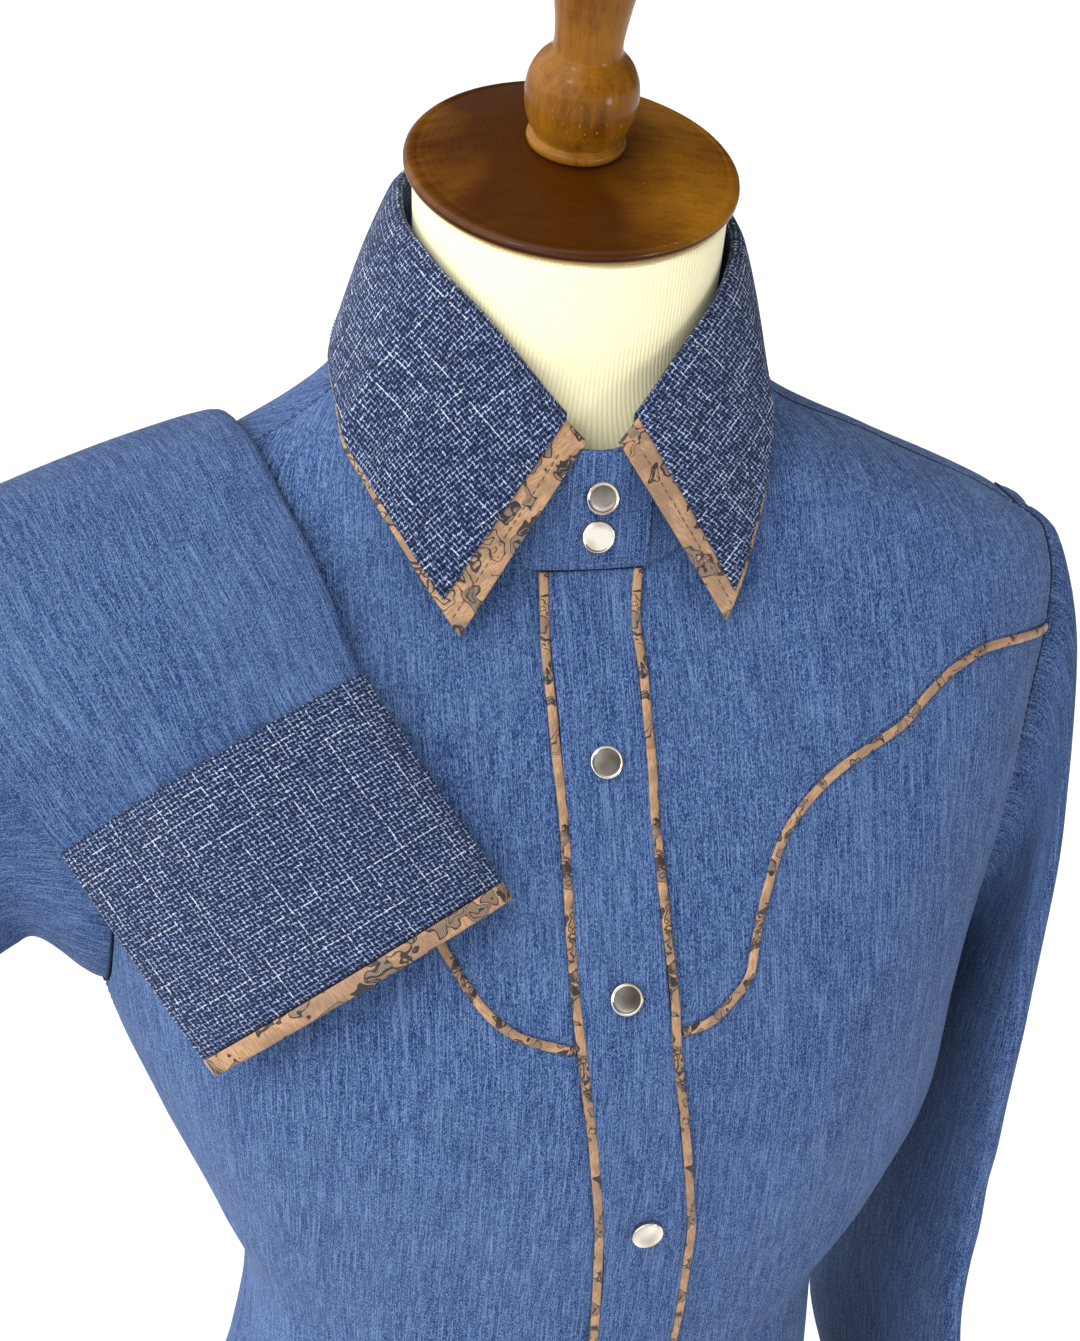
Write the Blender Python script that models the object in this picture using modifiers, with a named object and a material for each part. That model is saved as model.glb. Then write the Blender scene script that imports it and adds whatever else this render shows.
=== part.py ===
"""Western snap shirt with piped yokes, on a limbless dress form with a wooden neck cap.

Metres, +Z up, the front of the shirt faces -Y, +X is the side of the shirt's left front.
The origin is on the floor, at the centre of the round base.
"""

import math

import bmesh
import bpy
import numpy as np

for old_object in list(bpy.data.objects):
    bpy.data.objects.remove(old_object, do_unlink=True)

MM = 0.001

# Driving sizes in millimetres.
CLOTH_THICK = 1.2
PIPING_THICK = 1.0
PIPING_WIDTH = 3.4
SEAM_GAP = 0.3
FIRST_LAYER = 0.6
SECOND_LAYER = 2.6
PLACKET_LAYER = 2.8
STAND_LAP = 2.0
SLEEVE_CLEAR = 4.4
CUFF_CLEAR = 6.4
CAP_TILT = 20.0
CAP_CENTRE = (0.0, -9.0, 890.8)
POLE_RADIUS = 17.0
BASE_RADIUS = 130.0
BASE_HEIGHT = 30.0
TORSO_BOTTOM = 120.0

# Level sections of the dressed body: height, half width to the left front side (minus X)
# and to the other side, depth to the front and to the back, middle, squareness of the oval,
# lean of the section forward in degrees, and how far the form sits inside the cloth.
BODY = [
    # height, left, right, front, back, middle, power, lean, ease
    (120.0, 150.0, 150.0, 96.0, 106.0, 0.0, 2.20, 0.0, 4.5),
    (200.0, 168.0, 168.0, 113.0, 119.0, 0.0, 2.20, 0.0, 4.5),
    (280.0, 161.0, 160.0, 114.0, 116.0, 0.0, 2.15, 0.0, 4.5),
    (360.0, 140.0, 136.0, 109.0, 104.0, 0.0, 2.10, 0.0, 4.5),
    (420.0, 119.0, 112.5, 104.0, 92.0, 0.0, 2.10, 0.0, 4.5),
    (460.0, 113.0, 113.0, 105.0, 88.0, 0.0, 2.10, 0.0, 4.5),
    (500.0, 127.0, 137.0, 112.0, 90.0, 0.0, 2.15, 0.0, 4.5),
    (550.0, 149.0, 156.0, 124.0, 96.0, 0.0, 2.20, 0.0, 4.5),
    (600.0, 167.0, 161.0, 129.0, 103.0, 0.0, 2.25, 0.0, 5.5),
    (650.0, 173.0, 174.0, 117.0, 108.0, 0.0, 2.30, 0.0, 5.0),
    (700.0, 184.0, 184.0, 97.0, 106.0, 2.0, 2.50, 0.0, 4.5),
    (720.0, 189.0, 189.0, 88.0, 100.0, 3.0, 2.50, 0.0, 5.0),
    (740.0, 192.0, 192.0, 78.0, 90.0, 5.0, 2.50, 0.0, 5.0),
    (755.0, 184.0, 189.5, 70.0, 80.0, 6.0, 2.40, 0.0, 6.0),
    (765.0, 173.0, 176.0, 66.0, 75.0, 6.5, 2.30, 0.0, 6.0),
    (790.0, 128.0, 123.5, 63.5, 68.0, 5.0, 2.10, 0.0, 6.0),
    (813.5, 87.0, 77.5, 61.5, 62.0, 2.0, 2.00, 5.0, 7.0),
    (835.0, 65.0, 63.5, 59.0, 58.0, 0.0, 2.00, 12.0, 6.0),
    (860.0, 57.0, 57.0, 56.0, 56.0, -5.0, 2.00, 18.0, 3.0),
    (890.0, 55.5, 55.5, 55.5, 55.5, -9.0, 2.00, 20.0, 0.5),
]

# Neck seam: angle round the body from the front, height.
NECKLINE = [
    (0.0, 765.0),
    (4.0, 765.0),
    (9.0, 772.0),
    (20.0, 788.0),
    (36.0, 803.0),
    (58.0, 819.0),
    (90.0, 832.0),
    (120.0, 840.0),
    (150.0, 846.0),
    (180.0, 848.0),
]

# Shoulder seams, forward of the top of the shoulder: angle and height on each side.
SHOULDER = [
    # right angle, right height, left angle, left height
    (79.0, 763.0, 79.0, 763.0),
    (81.5, 776.0, 78.0, 778.0),
    (83.0, 793.0, 78.5, 798.0),
    (78.0, 811.0, 82.0, 813.0),
]
NECK_CORNER_RIGHT = 73.0
NECK_CORNER_LEFT = 84.0

# Armhole seam, the same on both sides: angle from the front, height.
ARM_FRONT_UPPER = [(79.0, 763.0), (78.0, 753.0), (76.0, 738.0), (73.5, 723.0)]
ARM_FRONT_LOWER = [(73.5, 723.0), (72.0, 700.0), (71.0, 672.0), (73.5, 636.0), (81.0, 604.0), (90.0, 592.0)]
ARM_BACK_LOWER = [(90.0, 592.0), (99.0, 603.0), (108.0, 634.0), (112.0, 672.0), (111.0, 705.0)]
ARM_BACK_UPPER = [(111.0, 705.0), (108.0, 730.0), (104.0, 748.0), (98.0, 759.0), (90.0, 766.0), (79.0, 763.0)]

# Front yoke seams, from the placket to the armhole: height, across on each side.
FRONT_YOKE = [
    # height, right front (minus X), left front (plus X)
    (615.0, 18.0, 18.0),
    (620.0, 36.0, 28.0),
    (627.0, 46.0, 38.0),
    (635.0, 52.5, 45.0),
    (646.0, 59.0, 47.5),
    (661.0, 67.0, 52.0),
    (676.0, 73.0, 58.5),
    (688.0, 80.0, 69.5),
    (697.0, 90.0, 83.0),
    (703.0, 102.0, 97.0),
    (708.0, 112.0, 109.0),
    (716.0, 122.0, 120.0),
    (723.0, 134.0, 133.0),
    (727.0, 150.0, 150.0),
]

# Back yoke seam: angle from the front, height.
BACK_YOKE = [(111.0, 705.0), (128.0, 699.0), (146.0, 690.0), (165.0, 680.0), (180.0, 676.0)]

# Hem: angle from the front, height.
HEM = [(0.0, 205.0), (30.0, 207.0), (60.0, 222.0), (90.0, 238.0), (120.0, 222.0), (150.0, 207.0), (180.0, 205.0)]

# Middle lines of the two placket pipings: height, across.
PLACKET = [
    # height, left edge seen from the front, right edge
    (764.0, -18.0, 16.0),
    (742.0, -19.5, 13.0),
    (716.0, -19.0, 13.5),
    (690.0, -19.0, 14.0),
    (664.0, -19.0, 14.5),
    (638.0, -18.0, 16.0),
    (605.0, -15.0, 18.5),
    (582.0, -11.5, 21.5),
    (558.0, -8.0, 25.5),
    (533.0, -5.0, 28.5),
    (508.0, -3.0, 29.5),
    (480.0, -2.5, 29.0),
    (400.0, -4.0, 29.0),
    (300.0, -8.0, 26.0),
    (205.0, -11.0, 23.0),
]

SNAP_HEIGHTS = (705.5, 631.5, 539.0, 461.0, 384.0, 308.0)
STAND_SNAPS = ((0.2, 792.0), (-0.4, 778.0))

# Collar, from the shirt's right front point round the back to the left front point:
# the fold line and the outer edge of the under collar.
COLLAR = [
    # fold x, fold y, fold z, edge x, edge y, edge z
    (-6.0, -66.5, 812.0, -50.0, -75.0, 747.5),
    (-17.0, -62.5, 824.0, -60.0, -68.0, 763.0),
    (-28.0, -56.5, 837.0, -69.0, -61.0, 778.0),
    (-40.0, -49.0, 851.0, -78.0, -50.0, 794.0),
    (-53.0, -35.0, 864.0, -84.0, -35.0, 807.0),
    (-60.0, -8.0, 875.0, -83.5, -9.0, 821.5),
    (-56.5, 18.0, 881.0, -75.0, 24.0, 829.0),
    (-45.5, 41.0, 884.0, -58.0, 56.0, 834.0),
    (-25.0, 57.5, 886.0, -32.0, 73.0, 835.0),
    (0.0, 63.0, 887.0, 0.0, 79.0, 836.0),
    (25.0, 57.5, 886.0, 31.0, 73.0, 835.0),
    (45.5, 41.0, 884.0, 56.0, 53.0, 834.0),
    (57.5, 16.0, 880.0, 67.5, 18.0, 831.0),
    (59.5, -12.0, 871.0, 67.0, -17.0, 825.0),
    (51.0, -36.0, 859.0, 66.0, -43.0, 811.0),
    (38.5, -50.0, 847.0, 61.0, -58.0, 791.0),
    (26.5, -58.0, 835.0, 55.5, -65.0, 775.0),
    (15.5, -63.5, 823.0, 50.0, -70.5, 760.0),
    (5.0, -67.0, 811.5, 44.0, -75.0, 748.5),
]
COLLAR_BULGE = 1.6
COLLAR_BAND = 8.5
COLLAR_REVEAL = 2.6
TOP_COLLAR_LIFT = 2.1

# Left sleeve, hanging at the side: level rows with the front and the back fold.
LEFT_SLEEVE = [
    # height, front x, front y, back x, back y, half thickness
    (565.0, 175.0, -60.0, 177.0, 82.0, 11.0),
    (505.0, 169.5, -58.0, 168.0, 80.0, 9.5),
    (440.0, 163.5, -57.0, 156.0, 74.0, 8.0),
    (380.0, 170.0, -56.0, 151.0, 71.0, 8.5),
    (320.0, 175.5, -54.0, 166.0, 66.0, 10.5),
    (266.0, 184.5, -51.0, 178.0, 62.0, 13.0),
]
LEFT_CUFF = [
    (265.0, 184.8, -51.5, 178.3, 62.5, 13.6),
    (222.0, 188.5, -50.5, 182.5, 61.5, 14.0),
    (179.0, 190.0, -50.0, 184.5, 61.0, 14.0),
]
LEFT_TRIM = [
    (178.6, 190.0, -50.0, 184.5, 61.0, 14.0),
    (171.6, 190.2, -49.8, 184.7, 60.8, 13.8),
]

# Right sleeve, folded up behind its own shoulder and laid down over the chest:
# the underarm edge and the overarm edge of the flat sleeve.
RIGHT_SLEEVE = [
    # under x, y, z, over x, y, z, half thickness, bow
    (-196.0, -4.0, 613.0, -272.0, -4.0, 732.0, 17.0, 0.0),
    (-208.0, -6.0, 605.0, -322.0, -6.0, 688.0, 13.0, 0.0),
    (-215.0, 0.0, 594.0, -346.0, 0.0, 658.0, 9.0, 0.0),
    (-216.0, 16.0, 587.0, -354.0, 14.0, 646.0, 6.0, 0.0),
    (-210.0, 33.0, 595.0, -347.0, 30.0, 656.0, 8.0, 0.0),
    (-190.0, 62.0, 636.0, -318.0, 46.0, 688.0, 9.0, 0.0),
    (-164.0, 88.0, 690.0, -288.0, 50.0, 718.0, 8.0, 0.0),
    (-142.0, 88.0, 744.0, -262.0, 44.0, 740.0, 7.0, 0.0),
    (-124.0, 58.0, 786.0, -245.0, 26.0, 750.0, 5.0, 2.0),
    (-116.0, 16.0, 801.5, -238.0, 2.0, 754.5, 3.4, 2.0),
    (-111.5, -16.0, 800.5, -231.0, -24.0, 745.0, 3.8, 2.0),
    (-105.0, -43.0, 788.0, -222.0, -40.0, 728.0, 4.4, 4.0),
    (-94.5, -66.0, 765.0, -206.0, -50.0, 705.0, 4.8, 7.0),
    (-86.0, -82.0, 741.0, -184.0, -57.0, 671.0, 5.0, 9.0),
]
RIGHT_CUFF = [
    (-84.9, -83.4, 739.6, -183.8, -57.9, 669.8, 5.2, 9.2),
    (-65.0, -103.0, 708.0, -163.0, -80.0, 640.0, 5.2, 10.0),
    (-43.8, -118.5, 676.4, -141.4, -101.0, 609.4, 4.8, 10.0),
]
RIGHT_TRIM = [
    (-43.6, -118.7, 676.1, -141.2, -101.2, 609.1, 4.8, 10.0),
    (-42.0, -120.6, 672.6, -138.0, -104.6, 601.0, 4.8, 10.0),
]


# ---------------------------------------------------------------------------
# Curves and the surface of the dressed body
# ---------------------------------------------------------------------------

def smooth_curve(knots, values, places):
    """Read a table at new places, without overshoot between its rows."""
    knots = np.asarray(knots, float)
    values = np.asarray(values, float)
    if values.ndim == 1:
        values = values[:, None]
    step = np.diff(knots)[:, None]
    slope = np.diff(values, axis=0) / step
    tangent = np.zeros_like(values)
    tangent[0] = slope[0]
    tangent[-1] = slope[-1]
    for row in range(1, len(knots) - 1):
        before = slope[row - 1]
        after = slope[row]
        same_way = before * after > 0
        weight_a = 2 * step[row] + step[row - 1]
        weight_b = step[row] + 2 * step[row - 1]
        safe_before = np.where(same_way, before, 1.0)
        safe_after = np.where(same_way, after, 1.0)
        mean = (weight_a + weight_b) / (weight_a / safe_before + weight_b / safe_after)
        tangent[row] = np.where(same_way, mean, 0.0)
    places = np.atleast_1d(np.asarray(places, float))
    clipped = np.clip(places, knots[0], knots[-1])
    cell = np.clip(np.searchsorted(knots, clipped, side="right") - 1, 0, len(knots) - 2)
    width = step[cell]
    part = (clipped[:, None] - knots[cell][:, None]) / width
    square = part * part
    cube = square * part
    return (
        (2 * cube - 3 * square + 1) * values[cell]
        + (cube - 2 * square + part) * width * tangent[cell]
        + (3 * square - 2 * cube) * values[cell + 1]
        + (cube - square) * width * tangent[cell + 1]
    )


BODY_TABLE = np.array(BODY)


def body_surface(angles, heights, form=False):
    """Points of the body for angles from the front in degrees and heights."""
    angles = np.radians(np.asarray(angles, float))
    shape = angles.shape
    heights = np.asarray(heights, float)
    row = smooth_curve(BODY_TABLE[:, 0], BODY_TABLE[:, 1:], heights.ravel())
    row = row.reshape(shape + (8,))
    left, right, front, back, middle, power, lean, ease = np.moveaxis(row, -1, 0)
    sine = np.sin(angles)
    cosine = np.cos(angles)
    if not form:
        ease = ease * 0.0
    across = np.where(sine > 0, right, left) - ease
    depth = np.where(cosine > 0, front, back) - ease
    x = across * np.sign(sine) * np.abs(sine) ** (2 / power)
    y = -depth * np.sign(cosine) * np.abs(cosine) ** (2 / power)
    z = heights + y * np.tan(np.radians(lean))
    return np.stack([x, middle + y, z], -1)


def body_normal(angles, heights):
    """Outward directions of the body surface at the same places."""
    angles = np.asarray(angles, float)
    heights = np.asarray(heights, float)
    round_way = body_surface(angles + 0.5, heights) - body_surface(angles - 0.5, heights)
    up_way = body_surface(angles, heights + 0.5) - body_surface(angles, heights - 0.5)
    normal = np.cross(round_way, up_way)
    return normal / np.linalg.norm(normal, axis=-1, keepdims=True)


def angle_at(across, height):
    """Angle from the front at which the body is this far across, on its front half."""
    row = smooth_curve(BODY_TABLE[:, 0], BODY_TABLE[:, 1:], [height])[0]
    wide = row[1] if across > 0 else row[0]
    power = row[5]
    share = min(abs(across) / wide, 1.0)
    return math.degrees(math.asin(share ** (power / 2))) * (1 if across > 0 else -1)


def place_on_body(points):
    """Angles and heights of the body nearest to points, found level by level."""
    points = np.asarray(points, float)
    x, y, z = points[..., 0], points[..., 1], points[..., 2]
    heights = z.copy()
    for _ in range(4):
        row = smooth_curve(BODY_TABLE[:, 0], BODY_TABLE[:, 1:], heights.ravel()).reshape(z.shape + (8,))
        left, right, front, back, middle, power, lean, ease = np.moveaxis(row, -1, 0)
        share_x = x / np.where(x > 0, right, left)
        share_y = -(y - middle) / np.where(y < middle, front, back)
        sine = np.sign(share_x) * np.abs(share_x) ** (power / 2)
        cosine = np.sign(share_y) * np.abs(share_y) ** (power / 2)
        angles = np.degrees(np.arctan2(sine, cosine))
        surface_y = body_surface(angles, heights)[..., 1]
        heights = z - (surface_y - middle) * np.tan(np.radians(lean))
    return np.stack([angles, heights], -1)


def path_through(corners, count):
    """Points evenly along a polyline smoothed through its corners, as (angle, height)."""
    corners = np.asarray(corners, float)
    reach = body_surface(corners[:, 0], corners[:, 1])
    along = np.concatenate([[0.0], np.cumsum(np.linalg.norm(np.diff(reach, axis=0), axis=1))])
    dense = np.linspace(0.0, along[-1], 161)
    if len(corners) > 2:
        line = smooth_curve(along, corners, dense)
    else:
        line = corners[0] + (corners[1] - corners[0]) * (dense / along[-1])[:, None]
    reach = body_surface(line[:, 0], line[:, 1])
    along = np.concatenate([[0.0], np.cumsum(np.linalg.norm(np.diff(reach, axis=0), axis=1))])
    wanted = np.linspace(0.0, along[-1], count + 1)
    return np.stack([np.interp(wanted, along, line[:, 0]), np.interp(wanted, along, line[:, 1])], 1)


def joined(*paths):
    """Chain paths end to end, dropping the doubled corners."""
    rows = [paths[0]]
    for path in paths[1:]:
        rows.append(path[1:])
    return np.concatenate(rows)


def mirrored(path):
    """The same path on the other side of the body."""
    return np.asarray(path, float) * np.array([-1.0, 1.0])


def filled_patch(top, bottom, first, last):
    """Blend four edge paths into a grid on the body; first and last run from the top down."""
    top, bottom, first, last = (body_surface(path[:, 0], path[:, 1]) for path in (top, bottom, first, last))
    columns = len(top)
    rows = len(first)
    u = np.linspace(0.0, 1.0, columns)[None, :, None]
    v = np.linspace(0.0, 1.0, rows)[:, None, None]
    ruled_v = (1 - v) * top[None] + v * bottom[None]
    ruled_u = (1 - u) * first[:, None] + u * last[:, None]
    corners = (
        (1 - u) * (1 - v) * top[0]
        + u * (1 - v) * top[-1]
        + (1 - u) * v * bottom[0]
        + u * v * bottom[-1]
    )
    return place_on_body(ruled_v + ruled_u - corners)


def neck_height(angle):
    """Height of the neck seam at an angle."""
    turned = abs((angle + 180.0) % 360.0 - 180.0)
    return float(smooth_curve([r[0] for r in NECKLINE], [r[1] for r in NECKLINE], turned)[0, 0])


def hem_height(angle):
    """Height of the hem at an angle."""
    turned = abs((angle + 180.0) % 360.0 - 180.0)
    return float(smooth_curve([r[0] for r in HEM], [r[1] for r in HEM], turned)[0, 0])


def neck_path(start, end, count):
    """Neck seam between two angles."""
    rows = []
    for step in range(33):
        angle = start + (end - start) * step / 32
        rows.append((angle, neck_height(angle)))
    return path_through(rows, count)


def hem_path(start, end, count):
    """Hem between two angles."""
    rows = []
    for step in range(count + 1):
        angle = start + (end - start) * step / count
        rows.append((angle, hem_height(angle)))
    return np.array(rows)


# ---------------------------------------------------------------------------
# Making solids
# ---------------------------------------------------------------------------

collection = bpy.data.collections.new("western_snap_shirt")
bpy.context.scene.collection.children.link(collection)


def new_material(name, colour, roughness, metallic=0.0):
    material = bpy.data.materials.new(name)
    material.use_nodes = True
    shader = material.node_tree.nodes["Principled BSDF"]
    shader.inputs["Base Color"].default_value = (*colour, 1.0)
    shader.inputs["Roughness"].default_value = roughness
    shader.inputs["Metallic"].default_value = metallic
    return material


def keep(mesh, name, colour, roughness, metallic=0.0):
    """Put a mesh in the collection as one named piece with its own material."""
    piece = bpy.data.objects.new(name, mesh)
    collection.objects.link(piece)
    mesh.materials.append(new_material("mat_" + name, colour, roughness, metallic))
    return piece


def sheet_mesh(name, grid, ring=False):
    """Open surface of four sided faces over a grid of points in millimetres."""
    rows, columns = grid.shape[:2]
    points = [tuple(float(c) * MM for c in p) for p in grid.reshape(-1, 3)]
    faces = []
    last = columns if ring else columns - 1
    for r in range(rows - 1):
        for c in range(last):
            d = (c + 1) % columns
            faces.append((r * columns + c, (r + 1) * columns + c, (r + 1) * columns + d, r * columns + d))
    mesh = bpy.data.meshes.new(name)
    mesh.from_pydata(points, [], faces)
    mesh.update()
    return mesh


def thicken(piece, thickness, offset=0.0):
    """Give an open surface its wall."""
    solid = piece.modifiers.new("wall", "SOLIDIFY")
    solid.thickness = thickness * MM
    solid.offset = offset
    solid.use_even_offset = False
    solid.use_quality_normals = True
    return solid


def drawn_in(grid, gap):
    """Move the four edges of a grid of points inward along the surface by half a seam gap."""
    moved = grid.copy()
    rows, columns = grid.shape[:2]
    half = gap / 2

    def inward(line, neighbour):
        along = np.gradient(line, axis=0)
        along /= np.linalg.norm(along, axis=1, keepdims=True)
        toward = neighbour - line
        toward -= along * np.sum(toward * along, axis=1, keepdims=True)
        return toward / np.linalg.norm(toward, axis=1, keepdims=True)

    moved[0] += inward(grid[0], grid[1]) * half
    moved[rows - 1] += inward(grid[rows - 1], grid[rows - 2]) * half
    moved[:, 0] += inward(grid[:, 0], grid[:, 1]) * half
    moved[:, columns - 1] += inward(grid[:, columns - 1], grid[:, columns - 2]) * half
    return moved


def panel(name, patch, layer, thickness, colour, roughness=0.85):
    """A cut piece of cloth lying on the body, from its grid of angles and heights."""
    points = body_surface(patch[..., 0], patch[..., 1])
    points = points + body_normal(patch[..., 0], patch[..., 1]) * layer
    points = drawn_in(points, SEAM_GAP)
    piece = keep(sheet_mesh(name, points), name, colour, roughness)
    thicken(piece, thickness)
    return piece


def turned(name, profile, steps, colour, roughness, metallic=0.0):
    """A round piece from (radius, height) corners running down its outer side."""
    mesh = bpy.data.meshes.new(name)
    points = [(radius * MM, 0.0, height * MM) for radius, height in profile]
    edges = [(i, i + 1) for i in range(len(points) - 1)]
    mesh.from_pydata(points, edges, [])
    piece = keep(mesh, name, colour, roughness, metallic)
    screw = piece.modifiers.new("turn", "SCREW")
    screw.angle = 2 * math.pi
    screw.steps = steps
    screw.render_steps = steps
    screw.use_merge_vertices = True
    screw.merge_threshold = 0.00005
    return piece


DENIM = (0.13, 0.23, 0.46)
CHECK = (0.06, 0.09, 0.20)
TAN = (0.50, 0.36, 0.25)
SILVER = (0.75, 0.72, 0.66)
KNIT = (0.85, 0.81, 0.70)
WALNUT = (0.28, 0.12, 0.04)

# ---------------------------------------------------------------------------
# Dress form: torso, neck cap, finial, pole and base
# ---------------------------------------------------------------------------

torso_heights = [TORSO_BOTTOM] + list(np.linspace(128.0, 700.0, 24)) + list(np.linspace(712.0, 890.0, 24))
torso_angles = np.linspace(0.0, 360.0, 48, endpoint=False)
torso_grid = body_surface(
    np.repeat(torso_angles[None], len(torso_heights), 0),
    np.repeat(np.array(torso_heights)[:, None], 48, 1),
    form=True,
)
torso_grid[0, :, :2] *= 0.95
torso_mesh = sheet_mesh("form_torso", torso_grid[::-1], ring=True)
shape = bmesh.new()
shape.from_mesh(torso_mesh)
bmesh.ops.holes_fill(shape, edges=shape.edges, sides=0)
bmesh.ops.recalc_face_normals(shape, faces=shape.faces)
shape.to_mesh(torso_mesh)
shape.free()
keep(torso_mesh, "form_torso", KNIT, 0.9)

cap_profile = [
    (0.0, 12.3),
    (14.0, 12.0),
    (28.0, 10.6),
    (42.0, 8.0),
    (51.0, 6.0),
    (55.5, 5.0),
    (57.4, 4.6),
    (58.3, 3.4),
    (58.3, 1.2),
    (57.2, 0.3),
    (0.0, 0.3),
]
finial_profile = [
    (0.0, 108.0),
    (5.0, 107.2),
    (10.5, 104.0),
    (14.6, 98.0),
    (16.2, 90.0),
    (15.8, 82.0),
    (14.4, 73.0),
    (13.0, 64.0),
    (12.0, 56.0),
    (11.7, 51.0),
    (12.4, 47.5),
    (15.4, 44.6),
    (18.3, 40.0),
    (19.5, 34.0),
    (19.1, 27.0),
    (17.2, 21.0),
    (16.0, 18.6),
    (16.6, 17.6),
    (17.8, 16.4),
    (18.0, 14.0),
    (17.0, 12.6),
    (0.0, 12.6),
]
lean = math.radians(CAP_TILT)
for turned_name, turned_profile in (("neck_cap", cap_profile), ("finial", finial_profile)):
    wood = turned(turned_name, turned_profile, 64, WALNUT, 0.35)
    wood.location = tuple(c * MM for c in CAP_CENTRE)
    wood.rotation_euler = (lean, 0.0, 0.0)

turned(
    "form_pole",
    [(0.0, TORSO_BOTTOM - 0.3), (POLE_RADIUS, TORSO_BOTTOM - 0.3), (POLE_RADIUS, 34.0), (POLE_RADIUS + 6, 30.3), (0.0, 30.3)],
    48,
    WALNUT,
    0.35,
)
turned(
    "form_base",
    [
        (0.0, BASE_HEIGHT),
        (30.0, BASE_HEIGHT),
        (60.0, BASE_HEIGHT - 3),
        (110.0, BASE_HEIGHT - 9),
        (124.0, BASE_HEIGHT - 12),
        (129.0, BASE_HEIGHT - 16),
        (BASE_RADIUS, BASE_HEIGHT - 21),
        (BASE_RADIUS, 2.0),
        (128.0, 0.0),
        (0.0, 0.0),
    ],
    64,
    WALNUT,
    0.35,
)

# ---------------------------------------------------------------------------
# Shared seam paths
# ---------------------------------------------------------------------------

ROWS_YOKE = 9
COLS_YOKE = 13
COLS_SHOULDER = 4
COLS_BACK = 16
ROWS_ARM = 4
ROWS_BACK_ARM = 3
ROWS_SIDE = 10
ROWS_LOWER = ROWS_ARM + ROWS_SIDE
ROWS_BACK_YOKE = 6

placket_table = np.array(PLACKET)
left_edge = [(row[1], row[0]) for row in PLACKET]
right_edge = [(row[2], row[0]) for row in PLACKET]


def placket_line(column, shift, top, bottom, count):
    """A line down the placket at a side shift, as angles and heights."""
    rows = []
    for height in np.linspace(top, bottom, count + 1):
        across = -float(smooth_curve(-placket_table[:, 0], -placket_table[:, column], -height)[0, 0])
        across = float(across) if column else 0.0
        rows.append((angle_at(across + shift, height), height))
    return np.array(rows)


def yoke_path(column, sign, inner_angle, inner_height):
    """Front yoke seam from the inner edge to the armhole."""
    rows = [(inner_angle, inner_height)]
    for row in FRONT_YOKE[1:]:
        rows.append((angle_at(sign * row[column], row[0]), row[0]))
    rows.append((sign * ARM_FRONT_UPPER[-1][0], ARM_FRONT_UPPER[-1][1]))
    return path_through(rows, COLS_YOKE)


YOKE_TIP = 614.5
UNDERLAP = -14.0


def front_pieces(side):
    """Yoke and lower front of one side; side is -1 for the right front, +1 for the left."""
    if side < 0:
        column = 1
        shift = -0.4
        corner = -NECK_CORNER_LEFT
        shoulder = [(-row[2], row[3]) for row in SHOULDER]
    else:
        column = 2
        shift = UNDERLAP - 18.0
        corner = NECK_CORNER_RIGHT
        shoulder = [(row[0], row[1]) for row in SHOULDER]
    upper_inner = placket_line(column, shift, 764.5, YOKE_TIP, ROWS_YOKE)
    lower_inner = placket_line(column, shift, YOKE_TIP, 205.0, ROWS_LOWER)
    upper_inner[0, 1] = neck_height(upper_inner[0, 0])
    lower_inner[-1, 1] = hem_height(lower_inner[-1, 0])
    seam = yoke_path(column, side, upper_inner[-1, 0], YOKE_TIP)
    neck = neck_path(upper_inner[0, 0], corner, COLS_YOKE - COLS_SHOULDER)
    ridge = path_through([(corner, neck_height(corner))] + shoulder[::-1], COLS_SHOULDER)
    arm_upper = path_through([(side * a, h) for a, h in ARM_FRONT_UPPER], ROWS_YOKE)
    arm_lower = path_through([(side * a, h) for a, h in ARM_FRONT_LOWER], ROWS_ARM)
    yoke = filled_patch(joined(neck, ridge), seam, upper_inner, arm_upper)
    side_seam = path_through([(side * 90.0, 592.0), (side * 90.0, hem_height(90.0))], ROWS_SIDE)
    hem = hem_path(lower_inner[-1, 0], side * 90.0, COLS_YOKE)
    lower = filled_patch(seam, hem, lower_inner, joined(arm_lower, side_seam))
    if side < 0:
        yoke = yoke[:, ::-1]
        lower = lower[:, ::-1]
    return yoke, lower, seam


right_yoke, right_lower, right_seam = front_pieces(-1)
left_yoke, left_lower, left_seam = front_pieces(1)
panel("front_yoke_right", right_yoke, FIRST_LAYER, CLOTH_THICK, DENIM)
panel("front_right", right_lower, FIRST_LAYER, CLOTH_THICK, DENIM)
panel("front_yoke_left", left_yoke, FIRST_LAYER, CLOTH_THICK, DENIM)
panel("front_left", left_lower, FIRST_LAYER, CLOTH_THICK, DENIM)

# Back yoke wraps forward over both shoulders to the shoulder seams.
back_seam_half = path_through(BACK_YOKE, COLS_BACK // 2)
back_seam = joined(back_seam_half, mirrored(back_seam_half)[::-1] + np.array([360.0, 0.0]))
shoulder_right = path_through(
    [(NECK_CORNER_RIGHT, neck_height(NECK_CORNER_RIGHT))] + [(r[0], r[1]) for r in SHOULDER[::-1]], COLS_SHOULDER
)[::-1]
shoulder_left = path_through(
    [(-NECK_CORNER_LEFT, neck_height(NECK_CORNER_LEFT))] + [(-r[2], r[3]) for r in SHOULDER[::-1]], COLS_SHOULDER
) + np.array([360.0, 0.0])
neck_back = neck_path(NECK_CORNER_RIGHT, 360.0 - NECK_CORNER_LEFT, COLS_BACK - 2 * COLS_SHOULDER)
arm_upper_right = path_through(ARM_BACK_UPPER, ROWS_BACK_YOKE)[::-1]
arm_upper_left = mirrored(arm_upper_right) + np.array([360.0, 0.0])
back_yoke = filled_patch(joined(shoulder_right, neck_back, shoulder_left), back_seam, arm_upper_right, arm_upper_left)
panel("back_yoke", back_yoke, FIRST_LAYER, CLOTH_THICK, DENIM)

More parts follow.
